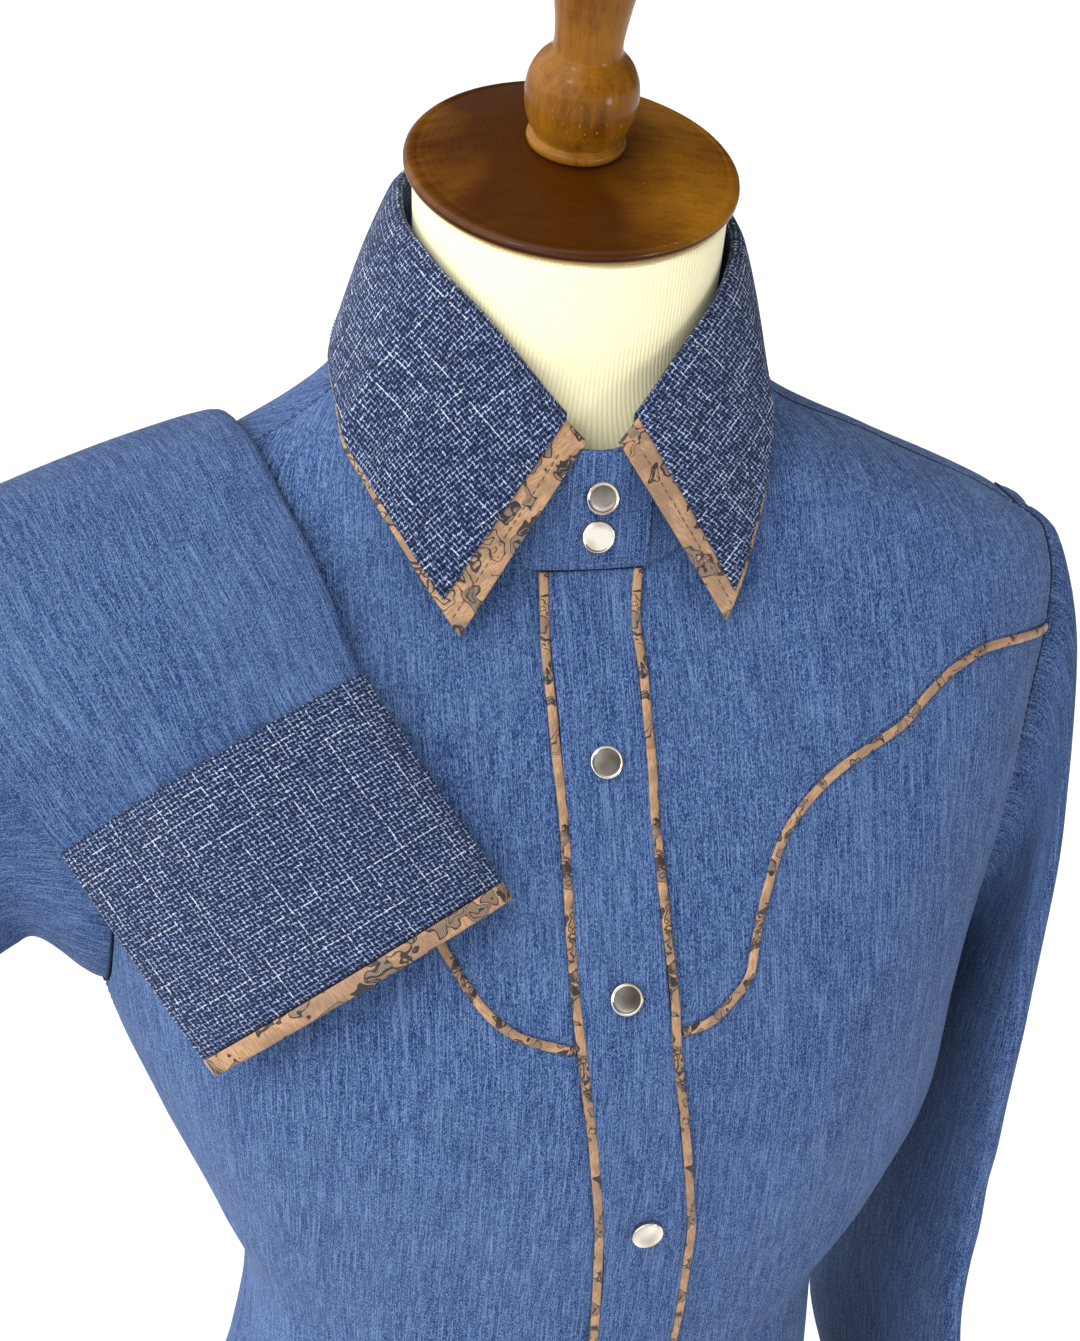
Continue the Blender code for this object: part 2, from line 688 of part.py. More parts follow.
arm_lower_right = path_through(ARM_BACK_LOWER, ROWS_BACK_ARM)[::-1]
side_right = path_through([(90.0, 592.0), (90.0, hem_height(90.0))], ROWS_SIDE)
back_right_edge = joined(arm_lower_right, side_right)
back_left_edge = mirrored(back_right_edge)
back_patch = filled_patch(back_seam, hem_path(90.0, 270.0, COLS_BACK), back_right_edge, back_left_edge)
panel("back", back_patch, FIRST_LAYER, CLOTH_THICK, DENIM)

# ---------------------------------------------------------------------------
# Placket band and pipings
# ---------------------------------------------------------------------------

half_piping = PIPING_WIDTH / 2


def placket_edge(column, shift):
    """A line down the whole placket, its points level with those of the fronts beneath."""
    upper = placket_line(column, shift, 764.0, YOKE_TIP, ROWS_YOKE)
    lower = placket_line(column, shift, YOKE_TIP, 205.5, ROWS_LOWER)
    return joined(upper, lower)


line_a = placket_edge(1, half_piping)
line_b = placket_edge(2, -half_piping)
middle_line = (line_a + line_b) / 2
panel("placket", np.stack([line_a, middle_line, line_b], 1), PLACKET_LAYER, CLOTH_THICK, DENIM)
for piping_name, column in (("placket_piping_right", 1), ("placket_piping_left", 2)):
    first = placket_edge(column, -half_piping)
    second = placket_edge(column, half_piping)
    panel(piping_name, np.stack([first, second], 1), SECOND_LAYER, PIPING_THICK, TAN, 0.5)


def yoke_piping(name, seam, side, column):
    """Flat folded strip along a front yoke seam."""
    start = placket_line(column, side * (half_piping + 0.5), YOKE_TIP, YOKE_TIP - 1, 1)[0, 0]
    rows = [row for row in seam if abs(row[0]) > abs(start) + 0.3]
    rows = np.array([(start, float(np.interp(abs(start), np.abs(seam[:, 0]), seam[:, 1])))] + rows)
    line = path_through(rows, 23)
    line = line[:-1]
    points = body_surface(line[:, 0], line[:, 1])
    normals = body_normal(line[:, 0], line[:, 1])
    along = np.gradient(points, axis=0)
    along /= np.linalg.norm(along, axis=1, keepdims=True)
    across = np.cross(normals, along) * half_piping
    centre = points + normals * SECOND_LAYER
    grid = np.stack([centre + across, centre - across], 1)
    piece = keep(sheet_mesh(name, grid), name, TAN, 0.5)
    thicken(piece, PIPING_THICK)


yoke_piping("yoke_piping_right", right_seam, -1, 1)
yoke_piping("yoke_piping_left", left_seam, 1, 2)

# ---------------------------------------------------------------------------
# Collar stand, its right end lapped over its left end
# ---------------------------------------------------------------------------

STAND_GAP = 1.8
STAND_ENDS = [
    # degrees from the end, share of the height
    (0.0, 0.46),
    (1.2, 0.66),
    (3.0, 0.80),
    (6.0, 0.90),
    (10.0, 0.96),
    (17.0, 1.0),
]


def round_point(angle, table):
    """Read a closed table of x, y, z by the angle round the neck."""
    rows = np.array(table, float)
    around = np.degrees(np.arctan2(rows[:, 0], -rows[:, 1]))
    order = np.argsort(around)
    around = around[order]
    rows = rows[order]
    around = np.concatenate([around[-2:] - 360.0, around, around[:2] + 360.0])
    rows = np.concatenate([rows[-2:], rows, rows[:2]])
    turned_angle = (angle + 180.0) % 360.0 - 180.0
    return smooth_curve(around, rows, turned_angle)[0]


neck_ring = []
for step in range(72):
    ring_angle = -180.0 + 5.0 * step
    neck_ring.append(body_surface(np.array([ring_angle]), np.array([neck_height(ring_angle)]))[0])
fold_ring = [row[:3] for row in COLLAR if row[0] != 0.0 or row[1] > 0]



def stand_point(angle, part):
    """Point of the stand at an angle round the neck and a share of its height there."""
    base = round_point(angle, neck_ring)
    fold = round_point(angle, fold_ring)
    lap = STAND_LAP * min(max((angle - 250.0) / 90.0, 0.0), 1.0)
    from_end = min(angle + 14.0, 376.5 - angle)
    share = float(smooth_curve([r[0] for r in STAND_ENDS], [r[1] for r in STAND_ENDS], from_end)[0, 0])
    top = fold.copy()
    top[2] -= 2.8
    pull = 1.0 - 3.3 / math.hypot(top[0], top[1])
    top[0] *= pull
    top[1] *= pull
    low = base.copy()
    low[2] += STAND_GAP
    out = np.array([math.sin(math.radians(angle)), -math.cos(math.radians(angle)), 0.0])
    return low + (top - low) * part * share + out * (0.5 + lap)


stand_angles = list(np.linspace(-14.0, 3.0, 5)) + list(np.linspace(18.0, 342.0, 20)) + list(np.linspace(357.0, 376.5, 7))
stand_rows = []
for part in (1.0, 0.5, 0.0):
    stand_rows.append([stand_point(angle, part) for angle in stand_angles])
stand = keep(sheet_mesh("collar_stand", np.array(stand_rows)), "collar_stand", DENIM, 0.85)
thicken(stand, CLOTH_THICK)

# ---------------------------------------------------------------------------
# Collar: patterned under collar, checked top collar a little smaller all round
# ---------------------------------------------------------------------------

collar_table = np.array(COLLAR)
fold_steps = np.linalg.norm(np.diff(collar_table[:, :3], axis=0), axis=1)
edge_steps = np.linalg.norm(np.diff(collar_table[:, 3:], axis=0), axis=1)
collar_place = np.concatenate([[0.0], np.cumsum((fold_steps + edge_steps) / 2)])
COLLAR_LENGTH = collar_place[-1]


def collar_point(place, down):
    """Point of the fall, at a place along it in millimetres and a share of its depth."""
    row = smooth_curve(collar_place, collar_table, place)[0]
    fold = row[:3]
    edge = row[3:]
    point = fold + (edge - fold) * down
    out = np.array([point[0], point[1] * 1.1, 0.0])
    out /= np.linalg.norm(out)
    out[2] = 0.5
    near_end = min(place, COLLAR_LENGTH - place) / 60.0
    swell = COLLAR_BULGE * (0.35 + 0.65 * min(near_end, 1.0))
    return point + out * swell * math.sin(math.pi * down) ** 0.8


def collar_grid(reveal_front, reveal_edge, columns, rows):
    """Grid over the fall, its front edges and outer edge drawn back."""
    grid = []
    for row in range(rows + 1):
        down = row / rows * (1.0 - reveal_edge / 70.0)
        line = []
        for column in range(columns + 1):
            share = column / columns
            wave = share - 0.10 * math.sin(4 * math.pi * share) / (2 * math.pi)
            inset = reveal_front
            line.append(collar_point(inset + (COLLAR_LENGTH - 2 * inset) * wave, down))
        grid.append(line)
    return np.array(grid)


def grid_normals(grid):
    """Directions square to a grid of points."""
    u = np.gradient(grid, axis=1)
    v = np.gradient(grid, axis=0)
    normal = np.cross(v, u)
    return normal / np.linalg.norm(normal, axis=-1, keepdims=True)


under_grid = collar_grid(0.0, 0.0, 26, 4)
under = keep(sheet_mesh("collar_under", under_grid), "collar_under", TAN, 0.5)
thicken(under, PIPING_THICK)

top_grid = collar_grid(COLLAR_BAND, COLLAR_REVEAL, 26, 4)
top_normals = grid_normals(top_grid)
if np.sum(top_normals[:, :, :2] * top_grid[:, :, :2]) < 0:
    top_normals = -top_normals
top_grid = top_grid + top_normals * TOP_COLLAR_LIFT
roll = top_grid[0].copy()
roll_out = roll.copy()
roll_out[:, 2] = 0.0
roll_out /= np.linalg.norm(roll_out, axis=1, keepdims=True)
crest = roll - roll_out * 1.7
crest[:, 2] += 1.3
inside = roll - roll_out * 3.3
inside[:, 2] += 0.4
top_grid = np.concatenate([[inside], [crest], top_grid])
top_collar = keep(sheet_mesh("collar_top", top_grid), "collar_top", CHECK, 0.9)
thicken(top_collar, CLOTH_THICK)

# ---------------------------------------------------------------------------
# Sleeves, cuffs and wrist trims
# ---------------------------------------------------------------------------

RING = 16
ARMHOLE_GAP = 1.4


def armhole_loop(side):
    """Armhole from the underarm up its front, over the shoulder and down its back."""
    front_lower = path_through(ARM_FRONT_LOWER, ROWS_ARM)[::-1]
    front_upper = path_through(ARM_FRONT_UPPER, ROWS_YOKE)[::-3]
    back_upper = path_through(ARM_BACK_UPPER, ROWS_BACK_YOKE)[::-1]
    back_lower = path_through(ARM_BACK_LOWER, ROWS_BACK_ARM)[::-1]
    loop = joined(front_lower, front_upper, back_upper, back_lower)[:-1] * np.array([side, 1.0])
    points = body_surface(loop[:, 0], loop[:, 1])
    normals = body_normal(loop[:, 0], loop[:, 1])
    along = np.roll(points, -1, axis=0) - np.roll(points, 1, axis=0)
    along /= np.linalg.norm(along, axis=1, keepdims=True)
    into_hole = np.cross(normals, along) * side * -1.0
    centre = points.mean(axis=0)
    facing = np.sum(into_hole * (centre - points), axis=1, keepdims=True)
    into_hole = np.where(facing < 0, -into_hole, into_hole)
    return points + normals * FIRST_LAYER, normals, into_hole


def oval(centre, half_vector, thick_vector, bow_vector):
    """Flattened ring starting at the underarm edge, then its front face."""
    ring = []
    for step in range(RING):
        turn = 2 * math.pi * step / RING
        side_share = -math.cos(turn)
        face_share = math.sin(turn)
        face = math.copysign(abs(face_share) ** 0.75, face_share)
        bow = 1.0 - side_share * side_share
        ring.append(centre + half_vector * side_share + thick_vector * face + bow_vector * bow)
    return ring


def flat_rows(table, clear):
    """Rings of a flat tube from its two edges, held off the body by a clear distance."""
    rows = np.array(table, float)
    under_edge = rows[:, 0:3]
    over_edge = rows[:, 3:6]
    centre = (under_edge + over_edge) / 2
    half = (over_edge - under_edge) / 2
    travel = np.gradient(centre, axis=0)
    facing = np.cross(half, travel)
    facing /= np.linalg.norm(facing, axis=1, keepdims=True)
    rings = []
    for index in range(len(rows)):
        rings.append(oval(centre[index], half[index], facing[index] * rows[index, 6], facing[index] * rows[index, 7]))
    rings = np.array(rings)
    nearest = place_on_body(rings)
    outward = body_normal(nearest[..., 0], nearest[..., 1])
    distance = np.sum((rings - body_surface(nearest[..., 0], nearest[..., 1])) * outward, axis=-1)
    lack = np.maximum(clear - distance, 0.0)
    opposite = (-np.arange(RING)) % RING
    deeper = lack >= lack[:, opposite]
    push = np.maximum(lack, lack[:, opposite])
    direction = np.where(deeper[..., None], outward, outward[:, opposite])
    return rings + direction * push[..., None]


def level_rows(table):
    """Rings of the hanging sleeve: inner face, front fold, outer face, back fold."""
    rings = []
    for height, fx, fy, bx, by, thick in table:
        front = np.array([fx, fy, height])
        back = np.array([bx, by, height])
        centre = (front + back) / 2
        half = (front - back) / 2
        outward = np.array([-(by - fy), bx - fx, 0.0]) * -1.0
        outward /= np.linalg.norm(outward)
        ring = []
        for step in range(RING):
            turn = 2 * math.pi * step / RING
            fold_share = math.sin(turn)
            face_share = -math.cos(turn)
            face = math.copysign(abs(face_share) ** 0.75, face_share)
            ring.append(centre + half * fold_share + outward * thick * face)
        rings.append(ring)
    return np.array(rings)


def bridge(points, normals, into_hole, first_ring, second_ring, lift, side):
    """Rings between the armhole seam and the first free ring of a sleeve."""
    reach = np.linalg.norm(first_ring - points, axis=1, keepdims=True)
    leave = normals * lift[:, None] + into_hole * 0.35
    leave += np.array([side * 0.35, 0.0, -0.10])
    leave /= np.linalg.norm(leave, axis=1, keepdims=True)
    arrive = second_ring - first_ring
    arrive /= np.linalg.norm(arrive, axis=1, keepdims=True)
    start = points + into_hole * ARMHOLE_GAP
    rings = [start]
    for share in (0.035, 0.14, 0.34, 0.58, 0.8):
        square = share * share
        cube = square * share
        rings.append(
            (2 * cube - 3 * square + 1) * start
            + (cube - 2 * square + share) * leave * np.minimum(reach, 92.0) * 0.9
            + (3 * square - 2 * cube) * first_ring
            + (cube - square) * arrive * reach * 0.9
        )
    return np.array(rings)


def tube(name, rings, thickness, colour, roughness, flip):
    grid = rings[:, ::-1] if flip else rings
    piece = keep(sheet_mesh(name, grid, ring=True), name, colour, roughness)
    thicken(piece, thickness)
    return piece


turn_share = np.arange(RING) / RING
lift_by_turn = 0.70 - 0.25 * np.sin(math.pi * turn_share)

loop, loop_normals, loop_into = armhole_loop(1)
free = level_rows(LEFT_SLEEVE)
joining = bridge(loop, loop_normals, loop_into, free[0], free[1], lift_by_turn, 1)
tube("sleeve_left", np.concatenate([joining, free]), CLOTH_THICK, DENIM, 0.85, True)
tube("cuff_left", level_rows(LEFT_CUFF), CLOTH_THICK, CHECK, 0.9, True)
tube("cuff_trim_left", level_rows(LEFT_TRIM), PIPING_THICK, TAN, 0.5, True)

loop, loop_normals, loop_into = armhole_loop(-1)
free = flat_rows(RIGHT_SLEEVE, SLEEVE_CLEAR)
joining = bridge(loop, loop_normals, loop_into, free[0], free[1], lift_by_turn, -1)
tube("sleeve_right", np.concatenate([joining, free]), CLOTH_THICK, DENIM, 0.85, False)
right_cuff_rings = flat_rows(RIGHT_CUFF, CUFF_CLEAR)
tube("cuff_right", right_cuff_rings, CLOTH_THICK, CHECK, 0.9, False)
tube("cuff_trim_right", flat_rows(RIGHT_TRIM, CUFF_CLEAR), PIPING_THICK, TAN, 0.5, False)

# ---------------------------------------------------------------------------
# Snap caps
# ---------------------------------------------------------------------------

SNAP_GAP = 0.5
PLACKET_SNAP_GAP = 1.3
snap_profile = [
    (0.0, 1.9),
    (3.6, 1.75),
    (4.5, 1.7),
    (4.9, 2.1),
    (5.4, 2.35),
    (5.8, 2.0),
    (5.9, 1.2),
    (5.6, 0.3),
    (5.0, 0.0),
    (0.0, 0.0),
]


def snap(name, foot, facing):
    """Pressed metal cap standing on a surface."""
    piece = turned(name, snap_profile, 28, SILVER, 0.2, 1.0)
    piece.location = tuple(float(c) * MM for c in foot)
    z_axis = facing / np.linalg.norm(facing)
    yaw = math.atan2(z_axis[0], -z_axis[1])
    pitch = math.acos(max(-1.0, min(1.0, z_axis[2])))
    piece.rotation_euler = (pitch, 0.0, yaw)


for index, height in enumerate(SNAP_HEIGHTS):
    edges = smooth_curve(-placket_table[:, 0], placket_table[:, 1:], -height)[0]
    angle = angle_at(float(edges.mean()), height)
    foot = body_surface(np.array([angle]), np.array([height]))[0]
    facing = body_normal(np.array([angle]), np.array([height]))[0]
    snap("snap_placket_%d" % (index + 1), foot + facing * (PLACKET_LAYER + CLOTH_THICK / 2 + PLACKET_SNAP_GAP), facing)

for index, (snap_angle, snap_height) in enumerate(STAND_SNAPS):
    low = stand_point(360.0 + snap_angle, 0.0)
    high = stand_point(360.0 + snap_angle, 1.0)
    share = (snap_height - low[2]) / (high[2] - low[2])
    foot = low + (high - low) * share
    sideways = stand_point(361.0 + snap_angle, share) - stand_point(359.0 + snap_angle, share)
    facing = np.cross(sideways, high - low)
    facing /= np.linalg.norm(facing)
    snap("snap_stand_%d" % (index + 1), foot + facing * (CLOTH_THICK / 2 + SNAP_GAP), facing)

# Two caps on the hidden face of each cuff.
for cuff_name, cuff_rings, column in (("left", level_rows(LEFT_CUFF), 10), ("right", right_cuff_rings, 12)):
    for index, (row, share) in enumerate(((0, 0.55), (1, 0.45))):
        here = cuff_rings[row] * (1 - share) + cuff_rings[row + 1] * share
        foot = here[column]
        sideways = here[(column + 1) % RING] - here[column - 1]
        facing = np.cross(sideways, cuff_rings[row + 1][column] - cuff_rings[row][column])
        facing /= np.linalg.norm(facing)
        if np.dot(facing, foot - here.mean(axis=0)) < 0:
            facing = -facing
        snap("snap_cuff_%s_%d" % (cuff_name, index + 1), foot + facing * (CLOTH_THICK / 2 + SNAP_GAP), facing)
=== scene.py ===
"""Western snap shirt with piped yokes on a limbless dress form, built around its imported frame."""

import math

import bmesh
import bpy
import numpy as np
from mathutils import Matrix, Vector, noise


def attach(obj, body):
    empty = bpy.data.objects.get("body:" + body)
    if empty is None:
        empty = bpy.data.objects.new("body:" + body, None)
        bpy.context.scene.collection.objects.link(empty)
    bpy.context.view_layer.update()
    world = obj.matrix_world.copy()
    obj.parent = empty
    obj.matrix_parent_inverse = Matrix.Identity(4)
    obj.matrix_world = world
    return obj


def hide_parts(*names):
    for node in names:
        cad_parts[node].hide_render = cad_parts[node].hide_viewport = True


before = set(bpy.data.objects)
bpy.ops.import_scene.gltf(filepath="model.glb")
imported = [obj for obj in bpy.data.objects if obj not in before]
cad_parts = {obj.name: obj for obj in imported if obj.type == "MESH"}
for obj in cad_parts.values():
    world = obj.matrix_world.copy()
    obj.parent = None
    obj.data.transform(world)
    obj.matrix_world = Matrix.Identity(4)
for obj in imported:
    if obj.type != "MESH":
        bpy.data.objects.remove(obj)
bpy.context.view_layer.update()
bpy.ops.object.select_all(action="DESELECT")
MM = 0.001
# The front faces -Y. Right and left are the wearer's: the wearer's right is toward -X.

# ---------------------------------------------------------------------------
# Dress form torso
# A foam torso pulled into a cover of cream cotton knit with fine upright ribs.
# The cover is seamless from the front, and is drawn tight up the neck.
# ---------------------------------------------------------------------------

BODY = np.array([
    # height, half width toward -X, toward +X, depth front, back, middle, power, lean, ease
    (120.0, 150.0, 150.0, 96.0, 106.0, 0.0, 2.20, 0.0, 4.5),
    (200.0, 168.0, 168.0, 113.0, 119.0, 0.0, 2.20, 0.0, 4.5),
    (280.0, 161.0, 160.0, 114.0, 116.0, 0.0, 2.15, 0.0, 4.5),
    (360.0, 140.0, 136.0, 109.0, 104.0, 0.0, 2.10, 0.0, 4.5),
    (420.0, 119.0, 112.5, 104.0, 92.0, 0.0, 2.10, 0.0, 4.5),
    (460.0, 113.0, 113.0, 105.0, 88.0, 0.0, 2.10, 0.0, 4.5),
    (500.0, 127.0, 137.0, 112.0, 90.0, 0.0, 2.15, 0.0, 4.5),
    (550.0, 149.0, 156.0, 124.0, 96.0, 0.0, 2.20, 0.0, 4.5),
    (600.0, 167.0, 161.0, 129.0, 103.0, 0.0, 2.25, 0.0, 5.5),
    (650.0, 173.0, 174.0, 117.0, 108.0, 0.0, 2.30, 0.0, 5.0),
    (700.0, 184.0, 184.0, 97.0, 106.0, 2.0, 2.50, 0.0, 4.5),
    (720.0, 189.0, 189.0, 88.0, 100.0, 3.0, 2.50, 0.0, 5.0),
    (740.0, 192.0, 192.0, 78.0, 90.0, 5.0, 2.50, 0.0, 5.0),
    (755.0, 184.0, 189.5, 70.0, 80.0, 6.0, 2.40, 0.0, 6.0),
    (765.0, 173.0, 176.0, 66.0, 75.0, 6.5, 2.30, 0.0, 6.0),
    (790.0, 128.0, 123.5, 63.5, 68.0, 5.0, 2.10, 0.0, 6.0),
    (813.5, 87.0, 77.5, 61.5, 62.0, 2.0, 2.00, 5.0, 7.0),
    (835.0, 65.0, 63.5, 59.0, 58.0, 0.0, 2.00, 12.0, 6.0),
    (860.0, 57.0, 57.0, 56.0, 56.0, -5.0, 2.00, 18.0, 3.0),
    (890.0, 55.5, 55.5, 55.5, 55.5, -9.0, 2.00, 20.0, 0.5),
])
RIB_PITCH = 1.6


def eased(share, start, leave, end, arrive):
    """A cubic from start to end, with its slope given at both."""
    square = share * share
    cube = square * share
    return (
        (2 * cube - 3 * square + 1) * start + (cube - 2 * square + share) * leave
        + (3 * square - 2 * cube) * end + (cube - square) * arrive
    )


def smooth_curve(knots, values, places):
    """Read a table at new places, without overshoot between its rows."""
    knots = np.asarray(knots, float)
    values = np.asarray(values, float)
    if values.ndim == 1:
        values = values[:, None]
    step = np.diff(knots)[:, None]
    slope = np.diff(values, axis=0) / step
    tangent = np.zeros_like(values)
    tangent[0] = slope[0]
    tangent[-1] = slope[-1]
    for row in range(1, len(knots) - 1):
        before = slope[row - 1]
        after = slope[row]
        same_way = before * after > 0
        weight_a = 2 * step[row] + step[row - 1]
        weight_b = step[row] + 2 * step[row - 1]
        safe_before = np.where(same_way, before, 1.0)
        safe_after = np.where(same_way, after, 1.0)
        mean = (weight_a + weight_b) / (weight_a / safe_before + weight_b / safe_after)
        tangent[row] = np.where(same_way, mean, 0.0)
    places = np.atleast_1d(np.asarray(places, float))
    clipped = np.clip(places, knots[0], knots[-1])
    cell = np.clip(np.searchsorted(knots, clipped, side="right") - 1, 0, len(knots) - 2)
    width = step[cell]
    part = (clipped[:, None] - knots[cell][:, None]) / width
    leave = width * tangent[cell]
    arrive = width * tangent[cell + 1]
    return eased(part, values[cell], leave, values[cell + 1], arrive)


def body_row(heights):
    heights = np.asarray(heights, float)
    row = smooth_curve(BODY[:, 0], BODY[:, 1:], heights.ravel()).reshape(heights.shape + (8,))
    return np.moveaxis(row, -1, 0)


def body_surface(angles, heights, form=False):
    """Points of the body in millimetres, from angles from the front in degrees and heights."""
    angles = np.radians(np.asarray(angles, float))
    heights = np.asarray(heights, float) + np.zeros_like(angles)
    minus_x, plus_x, front, back, middle, power, lean, ease = body_row(heights)
    sine = np.sin(angles)
    cosine = np.cos(angles)
    if not form:
        ease = ease * 0.0
    across = np.where(sine > 0, plus_x, minus_x) - ease
    depth = np.where(cosine > 0, front, back) - ease
    x = across * np.sign(sine) * np.abs(sine) ** (2 / power)
    y = -depth * np.sign(cosine) * np.abs(cosine) ** (2 / power)
    z = heights + y * np.tan(np.radians(lean))
    return np.stack([x, middle + y, z], -1)


def unit(vectors):
    """Vectors brought to length one."""
    return vectors / np.linalg.norm(vectors, axis=-1, keepdims=True)


def body_normal(angles, heights):
    round_way = body_surface(angles + 1.0, heights) - body_surface(angles - 1.0, heights)
    up_way = body_surface(angles, heights + 1.5) - body_surface(angles, heights - 1.5)
    return unit(np.cross(round_way, up_way))


def new_piece(name, data):
    """A new object in the scene, from its mesh, lamp or camera data."""
    piece = bpy.data.objects.new(name, data)
    bpy.context.scene.collection.objects.link(piece)
    return piece


def lay_mesh(name, points, weave, ring=False, thick=0.0):
    """Lay a grid of points in millimetres as a shell, with its weave map in metres."""
    rows, columns = points.shape[:2]
    corners = [tuple(float(c) * MM for c in p) for p in points.reshape(-1, 3)]
    faces = []
    spots = []
    last = columns if ring else columns - 1
    for r in range(rows - 1):
        for c in range(last):
            d = (c + 1) % columns
            faces.append((r * columns + c, (r + 1) * columns + c, (r + 1) * columns + d, r * columns + d))
            spots += [weave[r, c], weave[r + 1, c], weave[r + 1, c + 1], weave[r, c + 1]]
    mesh = bpy.data.meshes.new(name)
    mesh.from_pydata(corners, [], faces)
    layer = mesh.uv_layers.new(name="weave")
    layer.data.foreach_set("uv", (np.array(spots) * MM).ravel())
    mesh.update()
    piece = new_piece(name, mesh)
    if thick:
        wall = piece.modifiers.new("wall", "SOLIDIFY")
        wall.thickness = thick * MM
        wall.offset = 0.0
        wall.use_quality_normals = True
        bpy.context.view_layer.objects.active = piece
        bpy.ops.object.modifier_apply(modifier="wall")
    piece.data.shade_smooth()
    return piece


def run_along(line):
    """How far each point of a line is from its start; a grid is read down each column."""
    step = np.linalg.norm(np.diff(line, axis=0), axis=-1)
    return np.concatenate([np.zeros_like(step[:1]), np.cumsum(step, axis=0)])


def mend(mesh, fill=False, weld=False):
    """Fill a mesh's open ends or weld its seam where asked, and face it outward."""
    shape = bmesh.new()
    shape.from_mesh(mesh)
    if fill:
        bmesh.ops.holes_fill(shape, edges=[e for e in shape.edges if e.is_boundary], sides=0)
    if weld:
        bmesh.ops.remove_doubles(shape, verts=shape.verts, dist=0.00001)
    bmesh.ops.recalc_face_normals(shape, faces=shape.faces)
    shape.to_mesh(mesh)
    shape.free()


class Finish:
    """A material under way: each call adds a node and hands back its output."""

    def __init__(self, name, weave=True):
        self.material = bpy.data.materials.new(name)
        self.material.use_nodes = True
        self.tree = self.material.node_tree
        self.shader = self.tree.nodes["Principled BSDF"]
        if weave:
            self.spot = self.add("ShaderNodeUVMap", uv_map="weave")
        else:
            self.spot = self.add("ShaderNodeTexCoord", out="Object")

    def add(self, kind, inputs=None, out=0, **settings):
        made = self.tree.nodes.new(kind)
        for key, value in settings.items():
            setattr(made, key, value)
        for key, value in (inputs or {}).items():
            if isinstance(value, bpy.types.NodeSocket):
                self.tree.links.new(value, made.inputs[key])
            else:
                made.inputs[key].default_value = value
        return made.outputs[out]

    def sums(self, way, a, b=0.0, c=0.0):
        return self.add("ShaderNodeMath", {0: a, 1: b, 2: c}, operation=way)

    def times(self, a, b):
        return self.sums("MULTIPLY", a, b)

    def plus(self, a, b):
        return self.sums("ADD", a, b)

    def part(self, vector, axis=0):
        """One part of a place: across, then up, then the third."""
        return self.add("ShaderNodeSeparateXYZ", {0: vector}, out=axis)

    def scaled(self, x, y, z=1.0, start=None):
        return self.add("ShaderNodeVectorMath", {0: start or self.spot, 1: (x, y, z)}, operation="MULTIPLY")

    def moved(self, start, by):
        return self.add("ShaderNodeVectorMath", {0: start, 1: by}, operation="ADD")

    def cloudy(self, x, y, z=1.0, detail=2.0, rough=0.5, seed=0.0):
        spot = self.moved(self.scaled(x, y, z), (seed, seed * 1.7, seed * 0.3))
        inputs = {"Vector": spot, "Scale": 1.0, "Detail": detail, "Roughness": rough}
        return self.add("ShaderNodeTexNoise", inputs)

    def swayed(self, scale, detail, amount):
        """The weave's place, pushed about by soft noise."""
        inputs = {"Vector": self.spot, "Scale": scale, "Detail": detail}
        push = self.add("ShaderNodeTexNoise", inputs, out="Color")
        push = self.add("ShaderNodeVectorMath", {0: push, 1: (0.5, 0.5, 0.5)}, operation="SUBTRACT")
        push = self.scaled(amount, amount, 0.0, push)
        return self.moved(self.spot, push)

    def mixed(self, share, a, b):
        return self.add(
            "ShaderNodeMix", {0: share, 6: a, 7: b}, out=2,
            data_type="RGBA", blend_type="MIX", clamp_factor=True,
        )

    def between(self, value, low, high, to_low=0.0, to_high=1.0):
        inputs = {"Value": value, "From Min": low, "From Max": high, "To Min": to_low, "To Max": to_high}
        return self.add("ShaderNodeMapRange", inputs, clamp=True)

    def set(self, **sockets):
        for key, value in sockets.items():
            socket = self.shader.inputs[key.replace("_", " ")]
            if isinstance(value, bpy.types.NodeSocket):
                self.tree.links.new(value, socket)
            else:
                socket.default_value = value

    def relief(self, height, distance, strength=1.0):
        bump = self.add("ShaderNodeBump", {"Height": height, "Distance": distance, "Strength": strength})
        self.tree.links.new(bump, self.shader.inputs["Normal"])


def finish_piece(piece, material, replaces=None):
    """Dress a piece in its material and fix it to the frame."""
    piece.data.materials.clear()
    piece.data.materials.append(material)
    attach(piece, "root")
    if replaces:
        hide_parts(replaces)


def rib_knit():
    """Cream knit with fine upright ribs."""
    finish = Finish("cream_rib_knit")
    across = finish.part(finish.spot)
    wander = finish.cloudy(260, 60, detail=2, seed=3.0)
    place = finish.plus(across, finish.times(wander, 0.00035))
    wave = finish.sums("SINE", finish.times(place, 2 * math.pi / (RIB_PITCH * MM)))
    rib = finish.between(wave, -0.9, 0.7)
    loops = finish.cloudy(1500, 1100, detail=2, seed=8.0)
    fluff = finish.cloudy(300, 90, detail=3, seed=1.0)
    # The rib hollows are painted a darker cream than the ridges: painted shade.
    shade = finish.mixed(rib, (0.80, 0.725, 0.43, 1.0), (0.93, 0.865, 0.55, 1.0))
    shade = finish.mixed(finish.between(loops, 0.35, 0.7, 0.0, 0.22), shade, (0.95, 0.90, 0.64, 1.0))
    shade = finish.mixed(finish.between(fluff, 0.4, 0.7, 0.0, 0.25), shade, (0.84, 0.78, 0.50, 1.0))
    finish.set(Base_Color=shade, Roughness=0.95, Sheen_Weight=0.25, Sheen_Roughness=0.5)
    finish.relief(finish.plus(rib, finish.times(loops, 0.35)), 0.00016, 0.5)
    return finish.material


